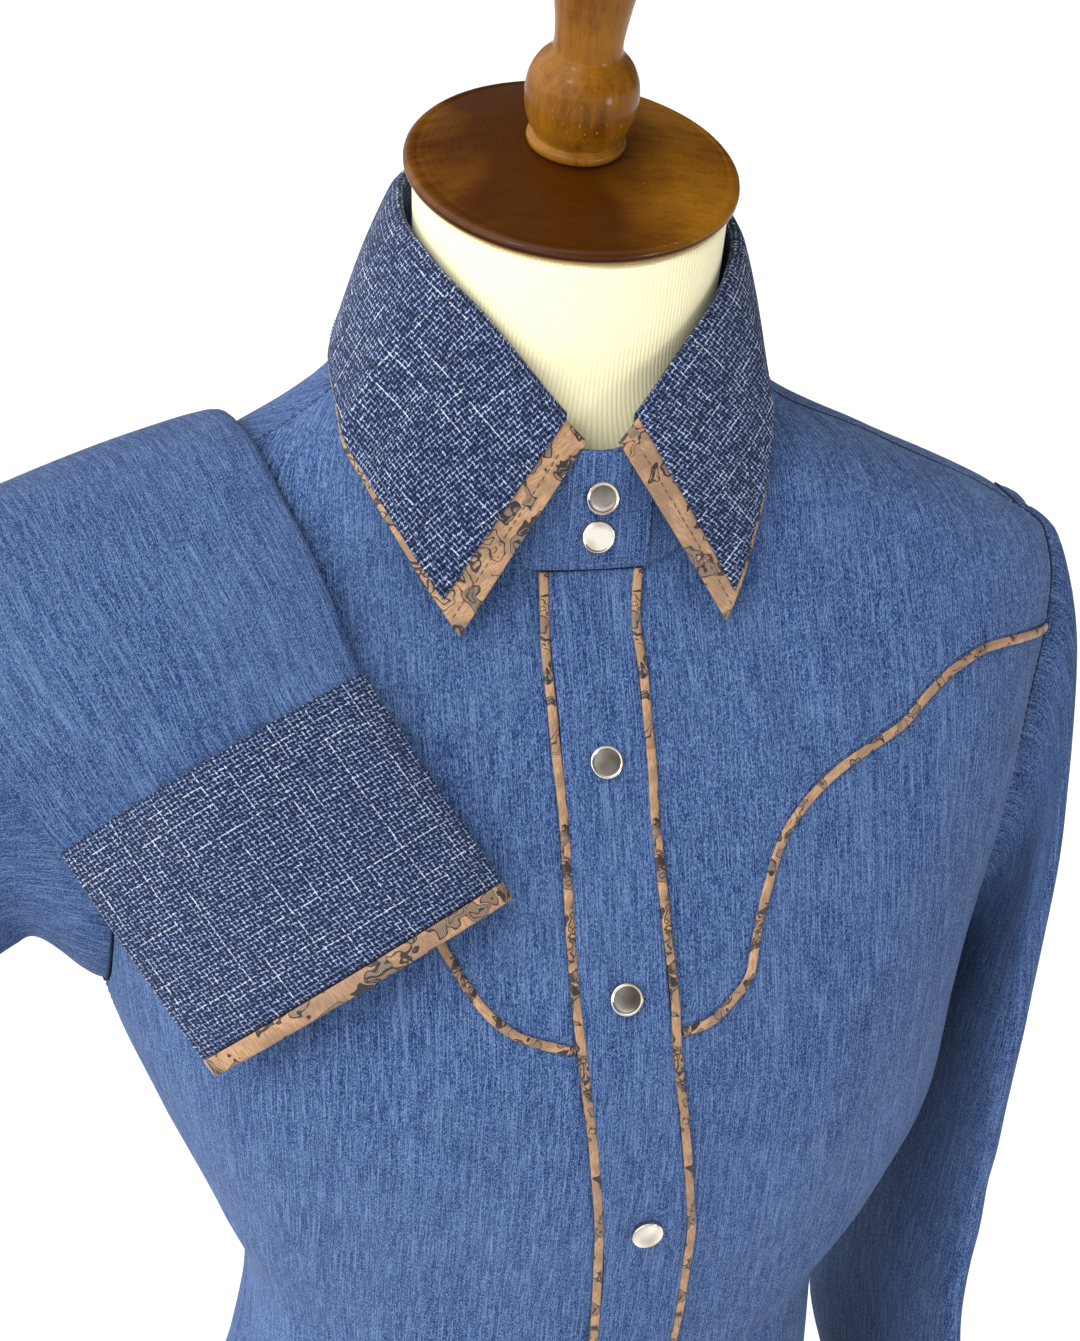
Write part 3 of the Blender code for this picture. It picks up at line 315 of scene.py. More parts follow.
torso_heights = np.concatenate([[120.0, 121.0, 124.0], np.linspace(130.0, 890.0, 190)])
torso_angles = np.linspace(0.0, 360.0, 144, endpoint=False)
height_grid = np.repeat(torso_heights[:, None], 144, 1)
torso_points = body_surface(np.repeat(torso_angles[None], len(torso_heights), 0), height_grid, form=True)
for ring_row, pull in ((0, 0.94), (1, 0.965), (2, 0.985)):
    torso_points[ring_row, :, :2] *= pull
torso_weave = np.zeros((len(torso_heights), 145, 2))
torso_weave[..., 0] = np.linspace(0.0, 216.0 * RIB_PITCH, 145)[None]
torso_weave[..., 1] = torso_heights[:, None]
torso = lay_mesh("torso_cover", torso_points[::-1], torso_weave[::-1], ring=True)
mend(torso.data, fill=True)
finish_piece(torso, rib_knit(), "form_torso")

# ---------------------------------------------------------------------------
# Neck cap and finial
# Turned hardwood, stained golden walnut and varnished. The cap closes the neck,
# tilted forward with it, and the finial is screwed into its middle.
# ---------------------------------------------------------------------------

CAP_CENTRE = (0.0, -9.0, 890.8)
CAP_TILT = math.radians(20.0)
CAP_PROFILE = [
    # radius, height
    (0.0, 12.3), (14.0, 12.0), (28.0, 10.6), (42.0, 8.0), (49.0, 6.4), (53.5, 5.3), (54.6, 5.0), (55.0, 5.15),
    (56.4, 4.9), (57.5, 4.3), (58.2, 3.5), (58.4, 2.6), (58.3, 1.4), (57.9, 0.7), (57.0, 0.35), (0.0, 0.3),
]
FINIAL_PROFILE = [
    (0.0, 108.0), (2.6, 107.7), (5.0, 107.0), (8.0, 105.6),
    (10.5, 103.6), (13.0, 100.6), (14.8, 97.0), (15.9, 93.0),
    (16.2, 89.0), (15.8, 82.0), (14.6, 74.0), (13.2, 65.0),
    (12.1, 57.0), (11.7, 52.0), (11.9, 49.2), (12.7, 47.3),
    (14.2, 45.6), (16.2, 43.4), (18.0, 40.2), (19.2, 36.5),
    (19.6, 32.5), (19.3, 28.0), (18.4, 23.8), (17.2, 20.6),
    (16.0, 18.4), (15.5, 17.3), (15.7, 16.8), (16.6, 16.4),
    (17.2, 15.6), (17.3, 14.4), (16.9, 13.3), (16.2, 12.6),
    (0.0, 12.6),
]


def turned(name, profile, steps, closer=0.9):
    """Spin a profile in millimetres about its upright axis, as on a lathe."""
    profile = np.array(profile, float)
    along = run_along(profile)
    places = []
    for start, end in zip(along[:-1], along[1:]):
        count = max(1, min(int((end - start) / closer), 14))
        places += list(np.linspace(start, end, count, endpoint=False))
    line = smooth_curve(along, profile, places + [along[-1]])
    mesh = bpy.data.meshes.new(name)
    edges = [(i, i + 1) for i in range(len(line) - 1)]
    mesh.from_pydata([(max(r, 0.0) * MM, 0.0, z * MM) for r, z in line], edges, [])
    piece = new_piece(name, mesh)
    bpy.ops.object.select_all(action="DESELECT")
    piece.select_set(True)
    bpy.context.view_layer.objects.active = piece
    bpy.ops.object.mode_set(mode="EDIT")
    bpy.ops.mesh.select_all(action="SELECT")
    bpy.ops.mesh.spin(steps=steps, angle=2 * math.pi, center=(0, 0, 0), axis=(0, 0, 1))
    bpy.ops.mesh.select_all(action="SELECT")
    bpy.ops.mesh.remove_doubles(threshold=0.00002)
    bpy.ops.mesh.normals_make_consistent(inside=False)
    bpy.ops.object.mode_set(mode="OBJECT")
    bpy.ops.object.shade_smooth()
    piece.select_set(False)
    return piece


def settle(piece, place, turn=(0.0, 0.0, 0.0)):
    """Put a piece in its place, in millimetres, and fix that place in its mesh."""
    piece.location = [c * MM for c in place]
    piece.rotation_euler = turn
    piece.select_set(True)
    bpy.context.view_layer.objects.active = piece
    bpy.ops.object.transform_apply(location=True, rotation=True, scale=True)
    piece.select_set(False)


def stained_wood(name, centre, tilt, grain, rings, rim=False):
    """Varnished walnut stain; grain is the noise scale along x, y and z of the turned piece."""
    finish = Finish(name, weave=False)
    inputs = {"Vector": finish.spot, "Location": [c * MM for c in centre], "Rotation": (tilt, 0.0, 0.0)}
    finish.spot = finish.add("ShaderNodeMapping", inputs, vector_type="TEXTURE")
    figure = finish.cloudy(*grain, detail=5, rough=0.6, seed=2.0)
    broad = finish.cloudy(24, 24, 24, detail=2, seed=5.0)
    fine = finish.cloudy(grain[0] * 5, grain[1] * 5, grain[2] * 5, detail=3, seed=9.0)
    flat_spot = finish.scaled(1.0, 1.0, 0.0)
    radius = finish.add("ShaderNodeVectorMath", {0: flat_spot}, out="Value", operation="LENGTH")
    turning = finish.sums("SINE", finish.plus(finish.times(radius, 2600.0), finish.times(broad, 9.0)))
    turning_mark = finish.between(turning, 0.86, 1.0, 0.0, rings)
    patch = finish.between(finish.cloudy(60, 60, 60, detail=2, seed=12.0), 0.48, 0.62)
    pores = finish.cloudy(grain[0] * 6, grain[1] * 12, grain[2] * 6, detail=1, seed=4.0)
    pore = finish.times(finish.between(pores, 0.70, 0.76), patch)
    grain_share = finish.between(figure, 0.3, 0.7)
    shade = finish.mixed(grain_share, (0.075, 0.020, 0.0006, 1.0), (0.205, 0.077, 0.0040, 1.0))
    shade = finish.mixed(finish.between(broad, 0.35, 0.65, 0.0, 0.6), shade, (0.30, 0.125, 0.008, 1.0))
    shade = finish.mixed(finish.between(fine, 0.5, 0.75, 0.0, 0.35), shade, (0.040, 0.010, 0.001, 1.0))
    shade = finish.mixed(turning_mark, shade, (0.26, 0.105, 0.014, 1.0))
    shade = finish.mixed(finish.times(pore, 0.75), shade, (0.52, 0.29, 0.07, 1.0))
    gloss = finish.between(finish.cloudy(90, 90, 90, detail=3, seed=6.0), 0.3, 0.7, 0.26, 0.42)
    if rim:
        upward = finish.part(finish.spot, 2)
        # Painted shade: the middle front of the cap is painted darker, fading lighter toward both sides.
        sideways = finish.part(finish.spot, 0)
        off_middle = finish.sums("ABSOLUTE", finish.plus(sideways, 0.014))
        off_middle = finish.plus(off_middle, finish.times(finish.sums("SUBTRACT", broad, 0.5), 0.04))
        painted_middle_shade = finish.between(off_middle, 0.020, 0.050, 0.90, 0.0)
        shade = finish.mixed(painted_middle_shade, shade, (0.034, 0.0066, 0.0002, 1.0))
        # Painted shade: a dark band round the side of the rim, where a groove's shade would lie.
        level = finish.sums("COMPARE", upward, 0.0024, 0.0005)
        painted_groove_shade = finish.times(level, finish.between(radius, 0.0560, 0.0575))
        shade = finish.mixed(finish.times(painted_groove_shade, 0.8), shade, (0.012, 0.003, 0.0005, 1.0))
        # Painted highlight: a golden band along the rounded lower edge of the rim.
        low = finish.between(upward, 0.0013, 0.0018, 0.85, 0.0)
        edge = finish.times(low, finish.between(radius, 0.0560, 0.0575))
        shade = finish.mixed(edge, shade, (0.36, 0.17, 0.018, 1.0))
    finish.set(Base_Color=shade, Roughness=gloss, Coat_Weight=0.22, Coat_Roughness=0.15)
    finish.shader.inputs["Specular IOR Level"].default_value = 0.04
    height = finish.plus(fine, finish.times(turning, rings))
    finish.relief(height, 0.00008, 0.6)
    return finish.material


cap = turned("cap_wood", CAP_PROFILE, 128)
settle(cap, CAP_CENTRE, (CAP_TILT, 0.0, 0.0))
cap_wood = stained_wood("walnut_cap", CAP_CENTRE, CAP_TILT, (55, 210, 55), 0.35, rim=True)
finish_piece(cap, cap_wood, "neck_cap")

finial = turned("finial_wood", FINIAL_PROFILE, 96)
settle(finial, CAP_CENTRE, (CAP_TILT, 0.0, 0.0))
finial_wood = stained_wood("walnut_finial", CAP_CENTRE, CAP_TILT, (190, 190, 28), 0.12)
finish_piece(finial, finial_wood, "finial")

# ---------------------------------------------------------------------------
# Pole and base
# A short turned pole stands in a round foot of the same stained wood, which
# rests flat on the floor and carries the whole form.
# ---------------------------------------------------------------------------

POLE_PROFILE = [
    (0.0, 119.7), (16.9, 119.7), (17.0, 119.0), (17.0, 60.0),
    (17.2, 42.0), (18.2, 36.6), (20.4, 33.2), (23.0, 31.2),
    (23.0, 30.4), (22.6, 30.3), (0.0, 30.3),
]
BASE_PROFILE = [
    (0.0, 30.0), (30.0, 30.0), (46.0, 29.2), (60.0, 27.4),
    (84.0, 24.4), (110.0, 21.2), (120.0, 19.4), (126.0, 16.6),
    (129.2, 13.0), (130.0, 9.0), (130.0, 4.0), (129.6, 1.6), (128.2, 0.2), (127.6, 0.0), (0.0, 0.0),
]
pole = turned("pole_wood", POLE_PROFILE, 64, 3.0)
finish_piece(pole, stained_wood("walnut_pole", (0, 0, 0), 0.0, (190, 190, 24), 0.1), "form_pole")
base = turned("base_wood", BASE_PROFILE, 128, 2.5)
finish_piece(base, stained_wood("walnut_base", (0, 0, 0), 0.0, (40, 150, 40), 0.3), "form_base")

# ---------------------------------------------------------------------------
# Fronts, front yokes, back and back yoke
# Mid blue cotton denim, woven with uneven warp yarns that show as pale upright
# slubs. Cut with the warp upright, seamed and topstitched, eased over the form.
# ---------------------------------------------------------------------------

NECKLINE = [
    # angle from the front, height
    (0.0, 765.0), (4.0, 765.0), (9.0, 772.0), (20.0, 788.0), (36.0, 803.0),
    (58.0, 819.0), (90.0, 832.0), (120.0, 840.0), (150.0, 846.0), (180.0, 848.0),
]
SHOULDER = [
    # angle and height on the +X side, then angle and height on the -X side
    (79.0, 763.0, 79.0, 763.0), (81.5, 776.0, 78.0, 778.0),
    (83.0, 793.0, 78.5, 798.0), (78.0, 811.0, 82.0, 813.0),
]
NECK_CORNERS = {1: 73.0, -1: 84.0}
ARM_FRONT_UPPER = [(79.0, 763.0), (78.0, 753.0), (76.0, 738.0), (73.5, 723.0)]
ARM_FRONT_LOWER = [(73.5, 723.0), (72.0, 700.0), (71.0, 672.0), (73.5, 636.0), (81.0, 604.0), (90.0, 592.0)]
ARM_BACK_LOWER = [(90.0, 592.0), (99.0, 603.0), (108.0, 634.0), (112.0, 672.0), (111.0, 705.0)]
ARM_BACK_UPPER = [(111.0, 705.0), (108.0, 730.0), (104.0, 748.0), (98.0, 759.0), (90.0, 766.0), (79.0, 763.0)]
FRONT_YOKE = [
    # height, across on the right front, across on the left front
    (615.0, 18.0, 18.0), (620.0, 36.0, 28.0), (627.0, 46.0, 38.0), (635.0, 52.5, 45.0), (646.0, 59.0, 47.5),
    (661.0, 67.0, 52.0), (676.0, 73.0, 58.5), (688.0, 80.0, 69.5), (697.0, 90.0, 83.0), (703.0, 102.0, 97.0),
    (708.0, 112.0, 109.0), (716.0, 122.0, 120.0), (723.0, 134.0, 133.0), (727.0, 150.0, 150.0),
]
BACK_YOKE = [(111.0, 705.0), (128.0, 699.0), (146.0, 690.0), (165.0, 680.0), (180.0, 676.0)]
HEM = [
    (0.0, 205.0), (30.0, 207.0), (60.0, 222.0), (90.0, 238.0),
    (120.0, 222.0), (150.0, 207.0), (180.0, 205.0),
]
PLACKET = np.array([
    # height, right front edge, left front edge
    (764.0, -18.0, 16.0), (742.0, -19.5, 13.0), (716.0, -19.0, 13.5),
    (690.0, -19.0, 14.0), (664.0, -19.0, 14.5),
    (638.0, -18.0, 16.0), (605.0, -15.0, 18.5), (582.0, -11.5, 21.5),
    (558.0, -8.0, 25.5), (533.0, -5.0, 28.5),
    (508.0, -3.0, 29.5), (480.0, -2.5, 29.0), (400.0, -4.0, 29.0), (300.0, -8.0, 26.0), (205.0, -11.0, 23.0),
])
YOKE_TIP = 614.5
UNDERARM = 592.0
NECK_SHARE = 9.0 / 13.0
FRONT_ARM_SHARE = 4.0 / 14.0
BACK_ARM_SHARE = 3.0 / 13.0
HALF_PIPING = 1.7
PANEL_LIFT = 0.55
PANEL_THICK = 0.9

# Soft folds in the cloth, each from one place to another, with its width and depth.
FRONT_FOLDS = [
    # x from, z from, x to, z to, width, depth
    (-64.0, 742.0, -86.0, 690.0, 7.0, 1.6),
    (-78.0, 700.0, -92.0, 640.0, 9.0, 1.2),
    (58.0, 752.0, 84.0, 690.0, 8.0, 1.5),
    (92.0, 764.0, 108.0, 716.0, 7.0, 1.0),
    (132.0, 700.0, 150.0, 640.0, 9.0, 1.1),
    (40.0, 600.0, 62.0, 520.0, 10.0, 0.9),
    (112.0, 590.0, 78.0, 500.0, 9.0, 1.3),
    (-112.0, 590.0, -74.0, 500.0, 9.0, 1.2),
    (-40.0, 590.0, -46.0, 500.0, 11.0, 0.8),
    (96.0, 470.0, 40.0, 452.0, 7.0, 1.4),
    (-92.0, 462.0, -34.0, 446.0, 7.0, 1.3),
    (100.0, 432.0, 52.0, 420.0, 6.0, 1.2),
    (-96.0, 420.0, -40.0, 412.0, 6.0, 1.1),
    (110.0, 380.0, 96.0, 280.0, 11.0, 1.3),
    (-108.0, 372.0, -90.0, 270.0, 12.0, 1.3),
    (52.0, 360.0, 60.0, 250.0, 11.0, 1.0),
    (-48.0, 350.0, -58.0, 240.0, 12.0, 0.9),
]
BACK_FOLDS = [
    (-60.0, 660.0, -80.0, 560.0, 10.0, 1.3),
    (58.0, 664.0, 84.0, 556.0, 11.0, 1.4),
    (8.0, 640.0, -4.0, 540.0, 12.0, 0.9),
    (-92.0, 500.0, -28.0, 462.0, 8.0, 1.7),
    (96.0, 490.0, 34.0, 456.0, 8.0, 1.6),
    (-98.0, 452.0, -40.0, 430.0, 7.0, 1.5),
    (92.0, 446.0, 44.0, 424.0, 7.0, 1.4),
    (-80.0, 400.0, -22.0, 398.0, 7.0, 1.1),
    (70.0, 396.0, 20.0, 390.0, 7.0, 1.1),
    (-70.0, 350.0, -84.0, 240.0, 12.0, 1.4),
    (66.0, 356.0, 80.0, 250.0, 12.0, 1.3),
    (0.0, 330.0, 6.0, 230.0, 13.0, 1.0),
    (-120.0, 740.0, -60.0, 724.0, 9.0, 0.8),
    (118.0, 742.0, 66.0, 726.0, 9.0, 0.8),
]


def place_on_body(points):
    """Angles and heights of the body nearest to points, found level by level."""
    x, y, z = points[..., 0], points[..., 1], points[..., 2]
    heights = z.copy()
    for _ in range(4):
        minus_x, plus_x, front, back, middle, power, lean = body_row(heights)[:7]
        share_x = x / np.where(x > 0, plus_x, minus_x)
        share_y = -(y - middle) / np.where(y < middle, front, back)
        sine = np.sign(share_x) * np.abs(share_x) ** (power / 2)
        cosine = np.sign(share_y) * np.abs(share_y) ** (power / 2)
        angles = np.degrees(np.arctan2(sine, cosine))
        surface_y = body_surface(angles, heights)[..., 1]
        heights = z - (surface_y - middle) * np.tan(np.radians(lean))
    return np.stack([angles, heights], -1)


def on_body(spots):
    """Points and outward directions of the body at angles and heights."""
    return body_surface(spots[..., 0], spots[..., 1]), body_normal(spots[..., 0], spots[..., 1])


def angle_at(across, height):
    row = smooth_curve(BODY[:, 0], BODY[:, 1:], [height])[0]
    wide = row[1] if across > 0 else row[0]
    share = min(abs(across) / wide, 1.0)
    return math.degrees(math.asin(share ** (row[5] / 2))) * (1 if across > 0 else -1)


def path_through(corners, shares):
    """A smooth line on the body through its corners, read at shares of its length."""
    corners = np.asarray(corners, float)
    reach = body_surface(corners[:, 0], corners[:, 1])
    along = run_along(reach)
    line = smooth_curve(along, corners, np.linspace(0.0, along[-1], 401))
    return read_line(line, shares)


def read_line(line, shares):
    """Read a finished line of angles and heights at shares of its length."""
    reach = body_surface(line[:, 0], line[:, 1])
    along = run_along(reach)
    wanted = np.asarray(shares) * along[-1]
    return np.stack([np.interp(wanted, along, line[:, 0]), np.interp(wanted, along, line[:, 1])], 1)


def joined(*paths):
    return np.concatenate([paths[0]] + [path[1:] for path in paths[1:]])


def side_of(path, side):
    return np.asarray(path, float) * np.array([side, 1.0])


def read_height(table, angle):
    turned_angle = abs((angle + 180.0) % 360.0 - 180.0)
    return float(smooth_curve([r[0] for r in table], [r[1] for r in table], turned_angle)[0, 0])


def level_path(table, start, end):
    return np.array([(a, read_height(table, a)) for a in np.linspace(start, end, 61)])


def edged(count, length):
    """Shares along a seam to seam width, with extra ones close to both edges."""
    close = np.array([0.35, 0.8, 1.4, 2.2, 3.4]) / length
    middle = np.linspace(5.0 / length, 1.0 - 5.0 / length, count)
    return np.concatenate([[0.0], close, middle, 1.0 - close[::-1], [1.0]])


def filled_patch(top, bottom, first, last, u, v):
    """Blend four edge lines into a grid on the body; first and last run from the top down."""
    top = body_surface(*top.T)
    bottom = body_surface(*bottom.T)
    first = body_surface(*first.T)
    last = body_surface(*last.T)
    u = u[None, :, None]
    v = v[:, None, None]
    ruled_v = (1 - v) * top[None] + v * bottom[None]
    ruled_u = (1 - u) * first[:, None] + u * last[:, None]
    upper = (1 - u) * (1 - v) * top[0] + u * (1 - v) * top[-1]
    corners = upper + (1 - u) * v * bottom[0] + u * v * bottom[-1]
    return place_on_body(ruled_v + ruled_u - corners)


def trough(off, width, shoulder):
    """A soft trough across a fold, with a low shoulder on each side of it."""
    beside = np.exp(-(((np.abs(off) - 1.9 * width) / width) ** 2))
    return np.exp(-((off / width) ** 2)) - shoulder * beside


def folded(points, normals, folds, front):
    """Sink soft troughs, and a little unevenness, into the cloth."""
    x = points[..., 0]
    z = points[..., 2]
    facing = np.clip(normals[..., 1] * (-1.0 if front else 1.0) * 2.0, 0.0, 1.0)
    sink = np.zeros_like(x)
    for x0, z0, x1, z1, width, depth in folds:
        run = np.array([x1 - x0, z1 - z0])
        length = np.linalg.norm(run)
        along = ((x - x0) * run[0] + (z - z0) * run[1]) / length**2
        off = ((x - x0) * run[1] - (z - z0) * run[0]) / length
        fade = np.clip(1.15 - np.abs(along - 0.5) * 1.9, 0.0, 1.0) ** 1.5
        wobble = off + 3.0 * np.sin(along * 5.0 + x0)
        sink -= depth * fade * trough(wobble, width, 0.45)
    flat = points.reshape(-1, 3)
    wave = np.array([
        noise.noise(Vector(p) * 0.021) * 0.6 + noise.noise(Vector(p) * 0.06) * 0.22 for p in flat
    ])
    return points + normals * (sink * facing + wave.reshape(x.shape))[..., None]


def edge_dip(points, depth, reach):
    """How far a cut piece turns under along its four edges."""
    def from_edge(line):
        run = run_along(line)
        return np.minimum(run, run[-1] - run)
    down = from_edge(points)
    across = np.moveaxis(from_edge(np.moveaxis(points, 1, 0)), 0, 1)
    near = np.minimum(down, across)
    return -depth * np.exp(-((near / reach) ** 2))


def warp_map(spots, points, twist=0.0, shift=(0.0, 0.0), front=True):
    """Cloth coordinates in millimetres: across the cloth and up its warp."""
    steps = np.linspace(0.0, 1.0, 25)
    middle = 0.0 if front else 180.0
    angles = (spots[..., 0] - middle + 180.0) % 360.0 - 180.0
    line = body_surface(middle + angles[..., None] * steps, np.repeat(spots[..., 1:2], 25, -1))
    reach = np.linalg.norm(np.diff(line, axis=-2), axis=-1).sum(-1) * np.sign(angles)
    height = points[..., 2]
    turn = math.radians(twist)
    across = reach * math.cos(turn) - height * math.sin(turn) + shift[0]
    upward = reach * math.sin(turn) + height * math.cos(turn) + shift[1]
    return np.stack([across, upward], -1)


def denim(name, seed, painted_light_level=1.0):
    """Mid blue denim: uneven warp yarns, long pale slubs, a faint twill and a soft fade."""
    finish = Finish(name)
    yarn = finish.cloudy(2700, 1250, detail=2, rough=0.6, seed=seed)
    grain = finish.cloudy(4200, 3600, detail=1, rough=0.6, seed=seed + 37)
    slub = finish.cloudy(2300, 70, detail=3, rough=0.65, seed=seed + 5)
    streak = finish.cloudy(460, 13, detail=3, rough=0.6, seed=seed + 11)
    weft = finish.cloudy(150, 2300, detail=2, rough=0.6, seed=seed + 23)
    fade = finish.cloudy(30, 20, detail=3, seed=seed + 41)
    across = finish.part(finish.spot, 0)
    upward = finish.part(finish.spot, 1)
    slope = finish.plus(across, finish.times(upward, 0.62))
    twill = finish.sums("SINE", finish.times(slope, 2 * math.pi / 0.00082))
    mottle = finish.plus(finish.times(yarn, 0.62), finish.times(grain, 0.38))
    # A level below one darkens this copy of the denim as a whole: painted shade.
    deep = (0.0032 * painted_light_level, 0.0120 * painted_light_level, 0.062 * painted_light_level, 1.0)
    middle = (0.021 * painted_light_level, 0.061 * painted_light_level, 0.186 * painted_light_level, 1.0)
    pale = (0.152 * painted_light_level, 0.240 * painted_light_level, 0.430 * painted_light_level, 1.0)
    shade = finish.mixed(finish.between(mottle, 0.41, 0.50), deep, middle)
    shade = finish.mixed(finish.between(mottle, 0.50, 0.61, 0.0, 0.90), shade, pale)
    shade = finish.mixed(finish.between(slub, 0.52, 0.66, 0.0, 0.66), shade, pale)
    shade = finish.mixed(finish.between(slub, 0.33, 0.47, 0.62, 0.0), shade, deep)
    shade = finish.mixed(finish.between(streak, 0.54, 0.72, 0.0, 0.22), shade, pale)
    shade = finish.mixed(finish.between(streak, 0.30, 0.44, 0.14, 0.0), shade, deep)
    shade = finish.mixed(finish.between(weft, 0.55, 0.78, 0.0, 0.16), shade, pale)
    shade = finish.mixed(finish.between(twill, 0.1, 1.0, 0.0, 0.16), shade, deep)
    shade = finish.mixed(finish.between(fade, 0.42, 0.72, 0.0, 0.10), shade, pale)
    finish.set(Base_Color=shade, Roughness=0.92, Sheen_Weight=0.05, Sheen_Roughness=0.5)
    finish.shader.inputs["Specular IOR Level"].default_value = 0.14
    height = finish.plus(mottle, finish.plus(finish.times(slub, 0.5), finish.times(twill, 0.12)))
    finish.relief(height, 0.00022, 0.8)
    return finish.material


def placket_line(column, shift, top, bottom, count=120):
    """A line down the placket at a side shift, as angles and heights."""
    rows = []
    for height in np.linspace(top, bottom, count + 1):
        across = float(smooth_curve(-PLACKET[:, 0], PLACKET[:, column], -height)[0, 0])
        rows.append((angle_at(across + shift, height), height))
    return np.array(rows)


def yoke_seam(side, inner_angle):
    """The swept yoke seam, from its point at the placket to the armhole."""
    column = 1 if side < 0 else 2
    rows = [(inner_angle, YOKE_TIP)]
    for row in FRONT_YOKE[1:]:
        rows.append((angle_at(side * row[column], row[0]), row[0]))
    rows.append((side * ARM_FRONT_UPPER[-1][0], ARM_FRONT_UPPER[-1][1]))
    return path_through(rows, np.linspace(0.0, 1.0, 241))


def sew_panel(name, spots, material, folds, front=True, shift=(0.0, 0.0)):
    """Lay a cut panel on the body from its grid of angles and heights."""
    points, normals = on_body(spots)
    weave = warp_map(spots, points, 0.0, shift, front)
    points = points + normals * (PANEL_LIFT + edge_dip(points, 0.5, 0.9))[..., None]
    points = folded(points, normals, folds, front)
    piece = lay_mesh("cloth_" + name, points, weave, thick=PANEL_THICK)
    finish_piece(piece, material, name)
    return points, normals


def shoulder_line(side):
    """The shoulder seam, from the neck corner out to the armhole."""
    corner = side * NECK_CORNERS[side]
    rows = [(-row[2], row[3]) if side < 0 else (row[0], row[1]) for row in SHOULDER]
    return path_through([(corner, read_height(NECKLINE, corner))] + rows[::-1], np.linspace(0, 1, 41))


def read_both(first, second, change, shares):
    """One line and then another, read at shares of the two; the second starts at the change."""
    early = shares <= change
    return np.concatenate([
        read_line(first, shares[early] / change), read_line(second, (shares[~early] - change) / (1 - change)),
    ])


def cut_front(side):
    """Grids of a front yoke and a lower front, and the seam between them."""
    column = 1 if side < 0 else 2
    shift = -0.4 if side < 0 else -32.0
    corner = side * NECK_CORNERS[side]
    upper_inner = placket_line(column, shift, 764.5, YOKE_TIP)
    lower_inner = placket_line(column, shift, YOKE_TIP, 205.0)
    upper_inner[0, 1] = read_height(NECKLINE, upper_inner[0, 0])
    lower_inner[-1, 1] = read_height(HEM, lower_inner[-1, 0])
    seam = yoke_seam(side, upper_inner[-1, 0])
    neck = level_path(NECKLINE, upper_inner[0, 0], corner)
    arm_upper = side_of(path_through(ARM_FRONT_UPPER, np.linspace(0, 1, 41)), side)
    arm_lower = side_of(path_through(ARM_FRONT_LOWER, np.linspace(0, 1, 41)), side)
    side_seam = np.array([(side * 90.0, h) for h in np.linspace(UNDERARM, read_height(HEM, 90.0), 61)])
    u = edged(66, 190.0)
    v = edged(44, 150.0)
    top = read_both(neck, shoulder_line(side), NECK_SHARE, u)
    yoke = filled_patch(top, read_line(seam, u), read_line(upper_inner, v), read_line(arm_upper, v), u, v)
    w = edged(150, 400.0)
    outer = read_both(arm_lower, side_seam, FRONT_ARM_SHARE, w)
    hem = level_path(HEM, lower_inner[-1, 0], side * 90.0)
    lower = filled_patch(read_line(seam, u), read_line(hem, u), read_line(lower_inner, w), outer, u, w)
    if side < 0:
        yoke = yoke[:, ::-1]
        lower = lower[:, ::-1]
    return yoke, lower, seam


right_yoke, right_lower, right_seam = cut_front(-1)
left_yoke, left_lower, left_seam = cut_front(1)
front_denim = denim("denim_fronts", 1.0)
yoke_denim = denim("denim_yokes", 5.0)
panels = {}
panels["yoke_right"] = sew_panel(
    "front_yoke_right", right_yoke, yoke_denim, FRONT_FOLDS, shift=(31.0, 12.0)
)
panels["front_right"] = sew_panel(
    "front_right", right_lower, front_denim, FRONT_FOLDS
)
panels["yoke_left"] = sew_panel(
    "front_yoke_left", left_yoke, yoke_denim, FRONT_FOLDS, shift=(77.0, 5.0)
)
panels["front_left"] = sew_panel(
    "front_left", left_lower, front_denim, FRONT_FOLDS, shift=(13.0, 0.0)
)

u = edged(110, 300.0)
v = edged(44, 130.0)
seam_half = path_through(BACK_YOKE, np.linspace(0, 1, 61))
back_seam = joined(seam_half, side_of(seam_half, -1)[::-1] + np.array([360.0, 0.0]))
shoulder_plus = shoulder_line(1)[::-1]
shoulder_minus = shoulder_line(-1) + np.array([360.0, 0.0])
neck_back = level_path(NECKLINE, NECK_CORNERS[1], 360.0 - NECK_CORNERS[-1])
back_top = np.concatenate([
    read_line(shoulder_plus, u[u <= 0.25] / 0.25),
    read_line(neck_back, (u[(u > 0.25) & (u <= 0.75)] - 0.25) / 0.5),
    read_line(shoulder_minus, (u[u > 0.75] - 0.75) / 0.25),
])
arm_upper_back = path_through(ARM_BACK_UPPER, 1.0 - v)
back_yoke = filled_patch(
    back_top, read_line(back_seam, u), arm_upper_back,
    side_of(arm_upper_back, -1) + np.array([360.0, 0.0]), u, v,
)
panels["back_yoke"] = sew_panel(
    "back_yoke", back_yoke, yoke_denim, BACK_FOLDS, front=False, shift=(40.0, 60.0)
)

w = edged(150, 460.0)
arm_lower_back = path_through(ARM_BACK_LOWER, np.linspace(0, 1, 41))[::-1]
side_back = np.array([(90.0, h) for h in np.linspace(UNDERARM, read_height(HEM, 90.0), 61)])
back_edge = read_both(arm_lower_back, side_back, BACK_ARM_SHARE, w)
back_hem = level_path(HEM, 90.0, 270.0)
back_patch = filled_patch(
    read_line(back_seam, u), read_line(back_hem, u), back_edge, side_of(back_edge, -1), u, w
)
panels["back"] = sew_panel(
    "back", back_patch, front_denim, BACK_FOLDS, front=False, shift=(0.0, 90.0)
)

# ---------------------------------------------------------------------------
# Placket band and its pipings, yoke pipings
# A doubled denim band covers the opening, with a folded bias strip of brocade
# let into the seam on each side of it, and the same strip along the yoke seams.
# ---------------------------------------------------------------------------

BAND_TOP = 764.0
BAND_FOOT = 205.5
PLACKET_LIFT = 2.5
PIPING_LIFT = 2.0


